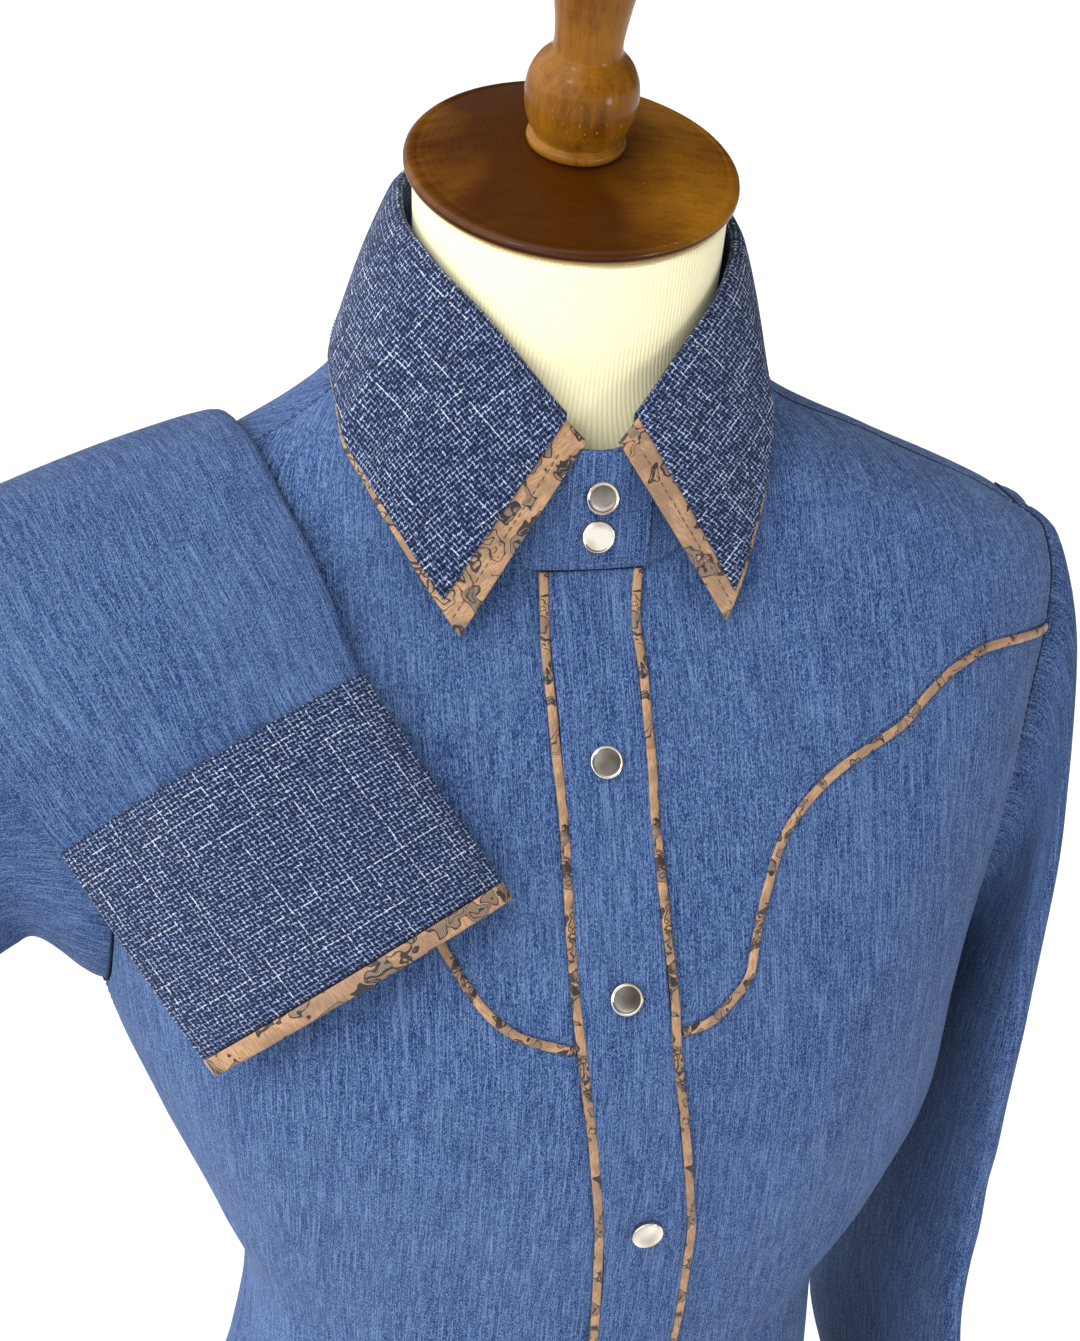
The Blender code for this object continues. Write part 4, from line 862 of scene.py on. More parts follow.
def brocade(name, seed, scale=118.0):
    """Tan satin with curling black outlines and hatched taupe fillings, a generic figured design."""
    finish = Finish(name)
    spot = finish.moved(finish.swayed(170.0, 1.0, 0.012), (seed, seed, 0.0))
    cell = finish.add("ShaderNodeTexVoronoi", {"Vector": spot, "Scale": scale}, out="Distance")
    which = finish.add("ShaderNodeTexVoronoi", {"Vector": spot, "Scale": scale}, out="Color")
    kind = finish.part(which)
    other = finish.part(which, 1)
    rings = finish.sums("ABSOLUTE", finish.sums("SINE", finish.times(cell, 13.0)))
    outline = finish.between(rings, 0.30, 0.42, 1.0, 0.0)
    figured = finish.times(finish.between(kind, 0.14, 0.16), finish.between(cell, 0.60, 0.58))
    line = finish.times(outline, figured)
    inputs = {"Vector": spot, "Scale": scale * 2.6}
    petals = finish.add("ShaderNodeTexVoronoi", inputs, out="Distance", feature="DISTANCE_TO_EDGE")
    petal = finish.times(finish.between(petals, 0.09, 0.14, 1.0, 0.0), finish.between(other, 0.50, 0.52))
    petal = finish.times(petal, finish.between(cell, 0.50, 0.48))
    line = finish.sums("MAXIMUM", line, petal)
    across = finish.part(finish.spot, 0)
    upward = finish.part(finish.spot, 1)
    slant = finish.sums("SINE", finish.times(finish.plus(across, upward), 2 * math.pi / 0.0007))
    hatch = finish.between(slant, -0.2, 0.4)
    filled = finish.times(finish.between(kind, 0.48, 0.50), finish.between(cell, 0.52, 0.50))
    thread = finish.cloudy(2600, 420, detail=2, seed=seed + 4)
    patch = finish.cloudy(120, 120, detail=1, seed=seed + 7)
    satin = finish.between(thread, 0.35, 0.65)
    shade = finish.mixed(satin, (0.27, 0.150, 0.078, 1.0), (0.43, 0.260, 0.145, 1.0))
    shade = finish.mixed(finish.between(patch, 0.42, 0.60, 0.0, 0.55), shade, (0.170, 0.105, 0.070, 1.0))
    taupe = finish.mixed(hatch, (0.085, 0.060, 0.050, 1.0), (0.235, 0.165, 0.115, 1.0))
    shade = finish.mixed(finish.times(filled, 0.85), shade, taupe)
    shade = finish.mixed(finish.times(line, 0.92), shade, (0.008, 0.007, 0.012, 1.0))
    finish.set(Base_Color=shade, Roughness=0.42, Sheen_Weight=0.08, Sheen_Roughness=0.35)
    finish.shader.inputs["Specular IOR Level"].default_value = 0.35
    finish.relief(finish.plus(thread, finish.times(line, 0.8)), 0.00012, 0.6)
    return finish.material


def piping_strip(name, centre, across, normals, slot, material, half_thick=0.75):
    """A flat rounded tube along a line: the folded edge of a bias strip, closed at its ends."""
    turns = np.linspace(0.0, 2 * math.pi, 14, endpoint=False)
    rings = []
    for c, a, n in zip(centre, across, normals):
        rings.append([
            c + a * HALF_PIPING * math.cos(t)
            + n * half_thick * math.copysign(abs(math.sin(t)) ** 0.8, math.sin(t))
            for t in turns
        ])
    rings = np.array(rings)
    run = run_along(centre)
    weave = np.zeros((len(centre), 15, 2))
    weave[..., 0] = np.linspace(0.0, 9.0, 15)[None]
    weave[..., 1] = run[:, None]
    piece = lay_mesh(name, rings, weave, ring=True)
    mend(piece.data, fill=True)
    finish_piece(piece, material, slot)
    return piece


def across_line(points, normals):
    along = unit(np.gradient(points, axis=0))
    across = np.cross(normals, along)
    return unit(across)


band_first = placket_line(1, HALF_PIPING, BAND_TOP, BAND_FOOT, 230)
band_last = placket_line(2, -HALF_PIPING, BAND_TOP, BAND_FOOT, 230)
band_shares = np.concatenate([[0.0, 0.02, 0.05, 0.09], np.linspace(0.14, 0.86, 12), [0.91, 0.95, 0.98, 1.0]])
band_spots = band_first[:, None] + (band_last - band_first)[:, None] * band_shares[None, :, None]
band_points, band_normals = on_body(band_spots)
pull = np.exp(-((np.minimum(band_shares, 1 - band_shares) * 31.0 / 1.2) ** 2))
ripple = np.array([noise.noise(Vector((0.4, 0.0, h * 0.035))) * 0.5 for h in band_spots[:, 0, 1]])
band_points += band_normals * (PLACKET_LIFT - 0.35 * pull[None, :] + ripple[:, None])[..., None]
band = lay_mesh(
    "cloth_placket", band_points, warp_map(band_spots, band_points, 0.6, (3.0, 44.0)), thick=1.0
)
finish_piece(band, denim("denim_placket", 9.0), "placket")

placket_brocade = brocade("brocade_placket", 0.0, 170.0)
for slot, column in (("placket_piping_right", 1), ("placket_piping_left", 2)):
    line = placket_line(column, 0.0, BAND_TOP, BAND_FOOT, 280)
    wander = np.array([noise.noise(Vector((column * 2.0, 0.3, h * 0.04))) * 0.25 for h in line[:, 1]])
    line[:, 0] += wander
    points, normals = on_body(line)
    centre = points + normals * (PIPING_LIFT + 0.35)
    piping_strip("strip_" + slot, centre, across_line(points, normals), normals, slot, placket_brocade)

yoke_brocade = brocade("brocade_yokes", 0.31, 170.0)
for slot, seam, side, column in (
    ("yoke_piping_right", right_seam, -1, 1), ("yoke_piping_left", left_seam, 1, 2),
):
    start = placket_line(column, side * (HALF_PIPING + 0.4), YOKE_TIP, YOKE_TIP - 1, 1)[0, 0]
    rows = [row for row in seam if abs(row[0]) > abs(start) + 0.3]
    rows = np.array([(start, float(np.interp(abs(start), np.abs(seam[:, 0]), seam[:, 1])))] + rows)
    line = path_through(rows[::4], np.linspace(0.0, 0.985, 150))
    points, normals = on_body(line)
    piping_strip(
        "strip_" + slot, points + normals * PIPING_LIFT, across_line(points, normals), normals,
        slot, yoke_brocade, half_thick=0.7,
    )

# ---------------------------------------------------------------------------
# Collar stand
# Two plies of the denim with a stiffener between, set into the neck seam. Its
# right end laps over the left and is cut round, and two snaps close it.
# ---------------------------------------------------------------------------

STAND_LAP = 2.0
STAND_DROP = 0.5
STAND_ENDS = [(0.0, 0.46), (1.2, 0.66), (3.0, 0.80), (6.0, 0.90), (10.0, 0.96), (17.0, 1.0)]
COLLAR = np.array([
    # fold x, fold y, fold z, edge x, edge y, edge z
    (-6.0, -66.5, 812.0, -50.0, -75.0, 747.5), (-17.0, -62.5, 824.0, -60.0, -68.0, 763.0),
    (-28.0, -56.5, 837.0, -69.0, -61.0, 778.0), (-40.0, -49.0, 851.0, -78.0, -50.0, 794.0),
    (-53.0, -35.0, 864.0, -84.0, -35.0, 807.0), (-60.0, -8.0, 875.0, -83.5, -9.0, 821.5),
    (-56.5, 18.0, 881.0, -75.0, 24.0, 829.0), (-45.5, 41.0, 884.0, -58.0, 56.0, 834.0),
    (-25.0, 57.5, 886.0, -32.0, 73.0, 835.0), (0.0, 63.0, 887.0, 0.0, 79.0, 836.0),
    (25.0, 57.5, 886.0, 31.0, 73.0, 835.0), (45.5, 41.0, 884.0, 56.0, 53.0, 834.0),
    (57.5, 16.0, 880.0, 67.5, 18.0, 831.0), (59.5, -12.0, 871.0, 67.0, -17.0, 825.0),
    (51.0, -36.0, 859.0, 66.0, -43.0, 811.0), (38.5, -50.0, 847.0, 61.0, -58.0, 791.0),
    (26.5, -58.0, 835.0, 55.5, -65.0, 775.0), (15.5, -63.5, 823.0, 50.0, -70.5, 760.0),
    (5.0, -67.0, 811.5, 44.0, -75.0, 748.5),
])


def round_reader(table):
    """Read a closed table of x, y, z by the angle round the neck."""
    rows = np.array(table, float)
    around = np.degrees(np.arctan2(rows[:, 0], -rows[:, 1]))
    order = np.argsort(around)
    around = around[order]
    rows = rows[order]
    around = np.concatenate([around[-2:] - 360.0, around, around[:2] + 360.0])
    rows = np.concatenate([rows[-2:], rows, rows[:2]])
    return lambda angle: smooth_curve(around, rows, (np.asarray(angle, float) + 180.0) % 360.0 - 180.0)


ring_angles = np.arange(-180.0, 180.0, 5.0)
read_neck = round_reader(body_surface(ring_angles, np.array([read_height(NECKLINE, a) for a in ring_angles])))
read_fold = round_reader([row[:3] for row in COLLAR if row[0] != 0.0 or row[1] > 0])


def stand_grid(angles, parts):
    """Points of the stand: shares of its height down the rows, angles along the columns."""
    angles = np.asarray(angles, float)
    low = read_neck(angles)
    top = read_fold(angles)
    lap = STAND_LAP * np.clip((angles - 250.0) / 90.0, 0.0, 1.0)
    from_end = np.minimum(angles + 14.0, 376.5 - angles)
    share = smooth_curve([r[0] for r in STAND_ENDS], [r[1] for r in STAND_ENDS], from_end)[:, 0]
    top[:, 2] -= 2.8
    top[:, :2] *= (1.0 - 3.3 / np.hypot(top[:, 0], top[:, 1]))[:, None]
    low[:, 2] += STAND_DROP
    turn = np.radians(angles)
    out = np.stack([np.sin(turn), -np.cos(turn), 0.0 * turn], -1) * (0.5 + lap)[:, None]
    parts = np.asarray(parts, float)[:, None, None]
    return low[None] + (top - low)[None] * parts * share[None, :, None] + out[None]


stand_angles = np.concatenate([
    np.linspace(-14.0, -8.0, 12, endpoint=False), np.linspace(-8.0, 366.0, 190, endpoint=False),
    np.linspace(366.0, 376.5, 20),
])
stand_parts = np.concatenate([
    [1.0, 0.985, 0.96, 0.93], np.linspace(0.88, 0.12, 14), [0.07, 0.04, 0.015, 0.0],
])
stand_points = stand_grid(stand_angles, stand_parts)
stand_out = np.stack(
    [np.sin(np.radians(stand_angles)), -np.cos(np.radians(stand_angles)), 0 * stand_angles], -1
)
rim = np.minimum(1.0 - stand_parts, stand_parts) * 30.0
stand_points += stand_out[None] * (1.0 - 0.4 * np.exp(-((rim / 1.4) ** 2)))[:, None, None]
stand_weave = np.zeros(stand_points.shape[:2] + (2,))
stand_weave[..., 0] = stand_angles[None] * 1.08
stand_weave[..., 1] = stand_points[..., 2]
stand = lay_mesh("cloth_stand", stand_points, stand_weave, thick=1.2)
# The stand's denim is painted a little darker than the fronts: painted shade.
finish_piece(stand, denim("denim_stand", 14.0, 0.95), "collar_stand")

# ---------------------------------------------------------------------------
# Collar fall
# The under collar and a wide facing down each front edge are brocade; the top
# collar is navy and white tweed, cut smaller so that the brocade frames it.
# ---------------------------------------------------------------------------

COLLAR_BULGE = 1.6
RIGHT_BAND = 11.5
LEFT_BAND = 9.8
COLLAR_REVEAL = 2.6
TOP_LIFT = 1.5
fold_steps = np.linalg.norm(np.diff(COLLAR[:, :3], axis=0), axis=1)
edge_steps = np.linalg.norm(np.diff(COLLAR[:, 3:], axis=0), axis=1)
collar_place = np.concatenate([[0.0], np.cumsum((fold_steps + edge_steps) / 2)])
COLLAR_LENGTH = collar_place[-1]


def tweed(name, seed):
    """Four dark threads to two pale ones each way, in a two and two twill, with white slubs."""
    finish = Finish(name)
    spot = finish.swayed(240.0, 2.0, 0.0007)
    blot = finish.cloudy(700, 700, detail=2, rough=0.6, seed=seed)
    threads = []
    for axis in (0, 1):
        place = finish.part(spot, axis)
        place = finish.plus(finish.times(place, 1.0 / 0.00029), 6000.0)
        number = finish.sums("FLOOR", place)
        step = finish.sums("MODULO", number, 6.0)
        group = finish.sums("FLOOR", finish.sums("DIVIDE", number, 6.0))
        block = finish.sums("FLOOR", finish.sums("DIVIDE", group, 7.0))
        draw = {"W": finish.plus(block, seed)}
        chance = finish.add("ShaderNodeTexWhiteNoise", draw, noise_dimensions="1D")
        chosen = finish.sums("FLOOR", finish.times(chance, 6.0))
        beyond = finish.sums("SUBTRACT", finish.sums("MODULO", group, 7.0), chosen)
        here = finish.sums("COMPARE", beyond, 0.0, 0.5)
        lengthwise = (55.0, 400.0) if axis else (400.0, 55.0)
        stretch = finish.cloudy(*lengthwise, detail=1, seed=seed + 3 + axis)
        slub = finish.times(here, finish.between(stretch, 0.44, 0.52))
        slub = finish.times(slub, finish.sums("COMPARE", step, 4.0, 0.5))
        soft = finish.between(stretch, 0.35, 0.65, 0.55, 1.0)
        threads.append((place, number, finish.times(finish.sums("GREATER_THAN", step, 3.5), soft), slub))
    (across, warp, warp_pale, warp_slub), (upward, weft, weft_pale, weft_slub) = threads
    over = finish.sums("LESS_THAN", finish.sums("MODULO", finish.plus(warp, weft), 4.0), 1.5)
    under = finish.sums("SUBTRACT", 1.0, over)
    pale = finish.plus(finish.times(warp_pale, over), finish.times(weft_pale, under))
    pale = finish.times(pale, finish.between(blot, 0.42, 0.62, 0.12, 1.0))
    slubs = finish.sums("MAXIMUM", warp_slub, weft_slub)
    slubs = finish.times(slubs, finish.between(blot, 0.42, 0.55, 0.05, 0.95))
    navy = finish.between(blot, 0.4, 0.65)
    dark = finish.mixed(navy, (0.0022, 0.0080, 0.042, 1.0), (0.0060, 0.021, 0.095, 1.0))
    shade = finish.mixed(pale, dark, (0.52, 0.62, 0.82, 1.0))
    shade = finish.mixed(finish.times(slubs, 0.85), shade, (0.74, 0.80, 0.84, 1.0))
    finish.set(Base_Color=shade, Roughness=0.95, Sheen_Weight=0.04, Sheen_Roughness=0.6)
    finish.shader.inputs["Specular IOR Level"].default_value = 0.12
    round_u = finish.sums("SINE", finish.times(finish.sums("FRACT", across), math.pi))
    round_v = finish.sums("SINE", finish.times(finish.sums("FRACT", upward), math.pi))
    yarn = finish.add("ShaderNodeMix", {0: over, 2: round_v, 3: round_u}, data_type="FLOAT")
    finish.relief(finish.plus(yarn, finish.times(slubs, 0.6)), 0.0002, 0.8)
    return finish.material


def collar_grid(right_inset, left_inset, edge_inset, columns, rows):
    """Grid over the fall, its front edges and outer edge drawn back, with its flat map."""
    shares = np.linspace(0.0, 1.0, columns + 1)
    shares = shares - 0.10 * np.sin(4 * math.pi * shares) / (2 * math.pi)
    places = right_inset + (COLLAR_LENGTH - right_inset - left_inset) * shares
    near = np.array([0.0, 0.5, 1.1, 2.0, 3.2])
    places = np.unique(np.concatenate([places, right_inset + near, COLLAR_LENGTH - left_inset - near]))
    down = np.concatenate([np.linspace(0.0, 0.94, rows), [0.962, 0.979, 0.992, 1.0]])
    down = down * (1.0 - edge_inset / 70.0)
    row = smooth_curve(collar_place, COLLAR, places)
    fold = row[:, :3]
    edge = row[:, 3:]
    points = fold[None] + (edge - fold)[None] * down[:, None, None]
    out = unit(points * np.array([1.0, 1.1, 0.0]))
    out[..., 2] = 0.5
    near_end = np.clip(np.minimum(places, COLLAR_LENGTH - places) / 60.0, 0.0, 1.0)
    swell = COLLAR_BULGE * (0.35 + 0.65 * near_end)
    points = points + out * (swell[None] * np.sin(math.pi * down)[:, None] ** 0.8)[..., None]
    run = run_along(fold)
    along = unit(np.gradient(fold, axis=0))
    fall = edge - fold
    slide = np.sum(fall * along, axis=1)
    drop = np.linalg.norm(fall - along * slide[:, None], axis=1)
    weave = np.stack([run[None] + slide[None] * down[:, None], drop[None] * down[:, None]], -1)
    return points, weave


def square_to(grid):
    normal = unit(np.cross(np.gradient(grid, axis=0), np.gradient(grid, axis=1)))
    if np.sum(normal[..., :2] * grid[..., :2]) < 0:
        normal = -normal
    return normal


under_points, under_weave = collar_grid(0.0, 0.0, 0.0, 200, 34)
under_normals = square_to(under_points)
under = lay_mesh("cloth_collar_under", under_points, under_weave, thick=1.0)
finish_piece(under, brocade("brocade_collar", 0.77), "collar_under")

top_points, top_weave = collar_grid(RIGHT_BAND, LEFT_BAND, COLLAR_REVEAL, 190, 34)
top_normals = square_to(top_points)
top_points = top_points + top_normals * (TOP_LIFT + edge_dip(top_points, 0.55, 1.0))[..., None]
outward = unit(top_points[0] * np.array([1.0, 1.0, 0.0]))
roll = []
for turn_in, rise in ((3.4, -2.4), (3.3, -0.6), (2.9, 0.6), (2.1, 1.35), (1.1, 1.2), (0.4, 0.6)):
    roll.append(top_points[0] - outward * turn_in + np.array([0.0, 0.0, rise]))
top_points = np.concatenate([np.array(roll), top_points])
roll_weave = np.repeat(top_weave[:1], 6, 0)
roll_weave[..., 1] -= np.array([6.8, 5.0, 3.8, 2.6, 1.5, 0.7])[:, None]
top_weave = np.concatenate([roll_weave, top_weave])
top_collar = lay_mesh("cloth_collar_top", top_points, top_weave, thick=0.9)
finish_piece(top_collar, tweed("tweed_collar", 2.0), "collar_top")

# ---------------------------------------------------------------------------
# Sleeves
# Denim tubes set into the armholes. The left one hangs at the side; the right
# one is folded up behind its own shoulder and laid forward across the chest.
# ---------------------------------------------------------------------------

LEFT_SLEEVE = np.array([
    # height, front x, front y, back x, back y, half thickness
    (565.0, 175.0, -60.0, 177.0, 82.0, 11.0), (505.0, 169.5, -58.0, 168.0, 80.0, 9.5),
    (440.0, 163.5, -57.0, 156.0, 74.0, 8.0), (380.0, 170.0, -56.0, 151.0, 71.0, 8.5),
    (320.0, 175.5, -54.0, 166.0, 66.0, 10.5), (266.0, 184.5, -51.0, 178.0, 62.0, 13.0),
    (257.0, 185.2, -49.8, 178.9, 60.9, 12.2),
])
RIGHT_SLEEVE = np.array([
    # under x, y, z, over x, y, z, half thickness, bow
    (-196.0, -4.0, 613.0, -272.0, -4.0, 732.0, 17.0, 0.0),
    (-208.0, -6.0, 605.0, -322.0, -6.0, 688.0, 13.0, 0.0),
    (-215.0, 0.0, 594.0, -346.0, 0.0, 658.0, 9.0, 0.0), (-216.0, 16.0, 587.0, -354.0, 14.0, 646.0, 6.0, 0.0),
    (-210.0, 33.0, 595.0, -347.0, 30.0, 656.0, 8.0, 0.0),
    (-190.0, 62.0, 636.0, -318.0, 46.0, 688.0, 9.0, 0.0),
    (-164.0, 88.0, 690.0, -288.0, 50.0, 718.0, 8.0, 0.0),
    (-142.0, 88.0, 744.0, -262.0, 44.0, 740.0, 7.0, 0.0),
    (-124.0, 58.0, 786.0, -245.0, 26.0, 750.0, 5.0, 2.0), (-116.0, 16.0, 801.5, -238.0, 2.0, 754.5, 3.4, 2.0),
    (-111.5, -16.0, 800.5, -231.0, -24.0, 745.0, 3.8, 2.0),
    (-105.0, -43.0, 788.0, -222.0, -40.0, 728.0, 4.4, 4.0),
    (-94.5, -66.0, 765.0, -206.0, -50.0, 705.0, 4.8, 7.0),
    (-86.0, -82.0, 741.0, -184.0, -57.0, 671.0, 5.0, 9.0),
    (-82.6, -86.4, 733.8, -177.7, -62.6, 665.6, 3.8, 9.4),
])
RIGHT_CUFF = np.array([
    (-84.9, -83.4, 739.6, -183.8, -57.9, 669.8, 5.2, 9.2),
    (-65.0, -103.0, 708.0, -163.0, -80.0, 640.0, 5.2, 10.0),
    (-43.8, -118.5, 676.4, -141.4, -101.0, 609.4, 4.8, 10.0),
])
LEFT_CUFF = np.array([
    (265.0, 184.8, -51.5, 178.3, 62.5, 13.6), (222.0, 188.5, -50.5, 182.5, 61.5, 14.0),
    (179.0, 190.0, -50.0, 184.5, 61.0, 14.0),
])
RING = 96
SLEEVE_CLEAR = 4.4
CUFF_CLEAR = 6.4
ARMHOLE_GAP = 1.4
turn_share = np.arange(RING) / RING
lift_by_turn = 0.70 - 0.25 * np.sin(math.pi * turn_share)


def armhole_loop(side):
    """Armhole from the underarm up its front, over the shoulder and down its back."""
    parts = []
    for path, start, end in (
        (ARM_FRONT_LOWER, 0.0, 0.25), (ARM_FRONT_UPPER, 0.25, 0.4375),
        (ARM_BACK_UPPER, 0.4375, 0.8125), (ARM_BACK_LOWER, 0.8125, 1.0),
    ):
        here = (turn_share >= start - 1e-9) & (turn_share < end - 1e-9)
        share = (turn_share[here] - start) / (end - start)
        parts.append(path_through(path, 1.0 - share))
    loop = np.concatenate(parts) * np.array([side, 1.0])
    points, normals = on_body(loop)
    along = unit(np.roll(points, -1, axis=0) - np.roll(points, 1, axis=0))
    into_hole = np.cross(normals, along)
    facing = np.sum(into_hole * (points.mean(axis=0) - points), axis=1, keepdims=True)
    into_hole = np.where(facing < 0, -into_hole, into_hole)
    return points + normals * 0.6, normals, into_hole


def finer(table, pitch):
    """Fill a table of rings in, evenly along the tube."""
    place = run_along(tube_middle(table))
    wanted = np.linspace(0.0, place[-1], max(int(place[-1] / pitch), 8) + 1)
    return smooth_curve(place, table, wanted)


def tube_middle(table):
    if table.shape[1] == 6:
        return np.stack([(table[:, 1] + table[:, 3]) / 2, (table[:, 2] + table[:, 4]) / 2, table[:, 0]], -1)
    return (table[:, 0:3] + table[:, 3:6]) / 2


def closed_round(rings):
    """Rings with their first point again at the end."""
    return np.concatenate([rings, rings[:, :1]], axis=1)


def winds_inward(rings):
    """Whether faces laid on the rings as they run would face into the tube."""
    facing = np.cross(rings[1, 1] - rings[1, 0], rings[2, 0] - rings[1, 0])
    return np.sum(facing * (rings[1, 0] - rings[1].mean(axis=0))) > 0


def flat_rows(table, clear):
    """Rings of a flat tube from its two edges, held off the body by a clear distance."""
    under_edge = table[:, 0:3]
    over_edge = table[:, 3:6]
    centre = (under_edge + over_edge) / 2
    half = (over_edge - under_edge) / 2
    facing = unit(np.cross(half, np.gradient(centre, axis=0)))
    turn = 2 * math.pi * turn_share
    side_share = -np.cos(turn)
    face = np.sign(np.sin(turn)) * np.abs(np.sin(turn)) ** 0.75
    fullness = table[:, 6, None] * face[None] + table[:, 7, None] * (1.0 - side_share**2)[None]
    rings = (
        centre[:, None] + half[:, None] * side_share[None, :, None]
        + facing[:, None] * fullness[..., None]
    )
    nearest = place_on_body(rings)
    outward = body_normal(nearest[..., 0], nearest[..., 1])
    distance = np.sum((rings - body_surface(nearest[..., 0], nearest[..., 1])) * outward, axis=-1)
    lack = np.maximum(clear - distance, 0.0)
    opposite = (-np.arange(RING)) % RING
    deeper = lack >= lack[:, opposite]
    push = np.maximum(lack, lack[:, opposite])
    direction = np.where(deeper[..., None], outward, outward[:, opposite])
    return rings + direction * push[..., None]


def level_rows(table):
    """Rings of the hanging sleeve: inner face, front fold, outer face, back fold."""
    front = table[:, [1, 2, 0]]
    back = table[:, [3, 4, 0]]
    centre = (front + back) / 2
    half = (front - back) / 2
    outward = unit(np.stack([table[:, 4] - table[:, 2], -(table[:, 3] - table[:, 1]), 0.0 * table[:, 0]], -1))
    turn = 2 * math.pi * turn_share
    face_share = -np.cos(turn)
    face = np.sign(face_share) * np.abs(face_share) ** 0.75
    return (
        centre[:, None] + half[:, None] * np.sin(turn)[None, :, None]
        + outward[:, None] * (table[:, 5, None] * face[None])[..., None]
    )


def bridge(points, normals, into_hole, first_ring, second_ring, side):
    """Rings between the armhole seam and the first free ring of a sleeve."""
    reach = np.linalg.norm(first_ring - points, axis=1, keepdims=True)
    rise = lift_by_turn - (0.10 * np.sin(math.pi * turn_share) if side > 0 else 0.0)
    leave = unit(normals * rise[:, None] + into_hole * 0.35 + np.array([side * 0.35, 0.0, -0.10]))
    arrive = unit(second_ring - first_ring)
    start = points + into_hole * ARMHOLE_GAP
    leave = leave * np.minimum(reach, 92.0) * 0.9
    arrive = arrive * reach * 0.9
    shares = np.concatenate([[0.0, 0.006, 0.014, 0.026, 0.04], np.linspace(0.065, 0.96, 26)])
    rings = np.array([eased(share, start, leave, first_ring, arrive) for share in shares])
    rings[0] -= normals * 0.45
    return rings


def ring_normals(rings):
    around = np.roll(rings, -1, axis=1) - np.roll(rings, 1, axis=1)
    normal = np.cross(around, np.gradient(rings, axis=0))
    normal /= np.maximum(np.linalg.norm(normal, axis=-1, keepdims=True), 1e-9)
    outward = rings - rings.mean(axis=1, keepdims=True)
    if np.sum(normal * outward) < 0:
        normal = -normal
    return normal


def tube_weave(rings, turn_v=0.0):
    """Flat map of a tube: round it across the cloth, along it up the warp."""
    closed = closed_round(rings)
    round_run = np.cumsum(np.linalg.norm(np.diff(closed, axis=1), axis=-1), axis=1)
    girth = round_run[:, -1:]
    share = np.concatenate([np.zeros_like(girth), round_run / girth], axis=1)
    run = run_along(rings.mean(axis=1))
    weave = np.zeros((len(rings), RING + 1, 2))
    weave[..., 0] = (share - 0.5) * (0.4 * girth + 0.6 * girth.mean())
    weave[..., 1] = run[:, None] + turn_v
    return weave


def crease(rings, normals, marks, wave=0.5, seed=0.0):
    """Sink troughs into a tube. Marks run by share along and share round, with width and depth."""
    run = run_along(rings.mean(axis=1))
    girth = np.linalg.norm(np.diff(closed_round(rings), axis=1), axis=-1).sum(axis=1).mean()
    v = run[:, None] + np.zeros((1, RING))
    sink = np.zeros(rings.shape[:2])
    for v0, r0, v1, r1, width, depth in marks:
        start = np.array([r0 * girth, v0 * run[-1]])
        way = np.array([(r1 - r0) * girth, (v1 - v0) * run[-1]])
        length = np.linalg.norm(way)
        for lap in (-1, 0, 1):
            u = (turn_share + lap)[None] * girth
            along = ((u - start[0]) * way[0] + (v - start[1]) * way[1]) / length**2
            off = ((u - start[0]) * way[1] - (v - start[1]) * way[0]) / length
            off = off + 2.5 * np.sin(along * 6.0 + r0 * 20)
            fade = np.clip(1.15 - np.abs(along - 0.5) * 1.9, 0.0, 1.0) ** 1.4
            sink -= depth * fade * trough(off, width, 0.5)
    away = Vector((seed, 0, 0))
    rough = np.array([noise.noise(Vector(p) * 0.03 + away) * 0.7 for p in rings.reshape(-1, 3)])
    settle_in = np.clip(run / 12.0, 0.0, 1.0)[:, None]
    return rings + normals * ((sink + rough.reshape(sink.shape) * wave) * settle_in)[..., None]


def sew_tube(name, rings, material, thick, turn_v=0.0):
    """Lay a sleeve or a cuff from its rings."""
    weave = tube_weave(rings, turn_v)
    if winds_inward(rings):
        rings = rings[:, ::-1]
        weave = weave[:, ::-1]
    piece = lay_mesh("cloth_" + name, rings, weave, ring=True, thick=thick)
    finish_piece(piece, material, name)
    return piece


LEFT_MARKS = [
    # share along, share round, share along, share round, width, depth
    (0.10, 0.20, 0.30, 0.30, 8.0, 1.8), (0.16, 0.62, 0.34, 0.46, 9.0, 2.0),
    (0.22, 0.40, 0.40, 0.52, 8.0, 1.4),
    (0.44, 0.24, 0.52, 0.44, 8.0, 1.1), (0.50, 0.30, 0.56, 0.50, 7.0, 0.9),
    (0.55, 0.62, 0.60, 0.80, 8.0, 0.8),
    (0.60, 0.34, 0.82, 0.42, 9.0, 1.3), (0.86, 0.30, 0.99, 0.33, 4.0, 1.5),
    (0.86, 0.42, 0.99, 0.43, 4.0, 1.6),
    (0.88, 0.60, 0.99, 0.58, 4.0, 1.5), (0.87, 0.78, 0.99, 0.76, 4.5, 1.3),
    (0.46, 0.90, 0.54, 0.76, 7.0, 1.0),
]
RIGHT_MARKS = [
    (0.06, 0.12, 0.17, 0.30, 8.0, 2.2), (0.10, 0.42, 0.22, 0.30, 9.0, 1.8),
    (0.14, 0.22, 0.30, 0.16, 8.0, 1.4),
    (0.28, 0.36, 0.34, 0.20, 6.0, 1.6), (0.30, 0.80, 0.36, 0.64, 6.0, 1.6),
    (0.44, 0.30, 0.56, 0.20, 8.0, 1.4),
    (0.50, 0.66, 0.60, 0.80, 8.0, 1.4), (0.66, 0.88, 0.72, 0.62, 6.0, 1.3),
    (0.76, 0.86, 0.93, 0.80, 7.0, 0.9),
    (0.78, 0.70, 0.95, 0.66, 9.0, 0.9), (0.90, 0.60, 0.995, 0.62, 5.0, 0.8),
    (0.92, 0.74, 0.995, 0.74, 5.0, 0.7),
]
# The sleeves' denim is painted darker than the fronts: painted shade.
sleeve_denim = denim("denim_sleeves", 21.0, 0.86)
loop, loop_normals, loop_into = armhole_loop(1)
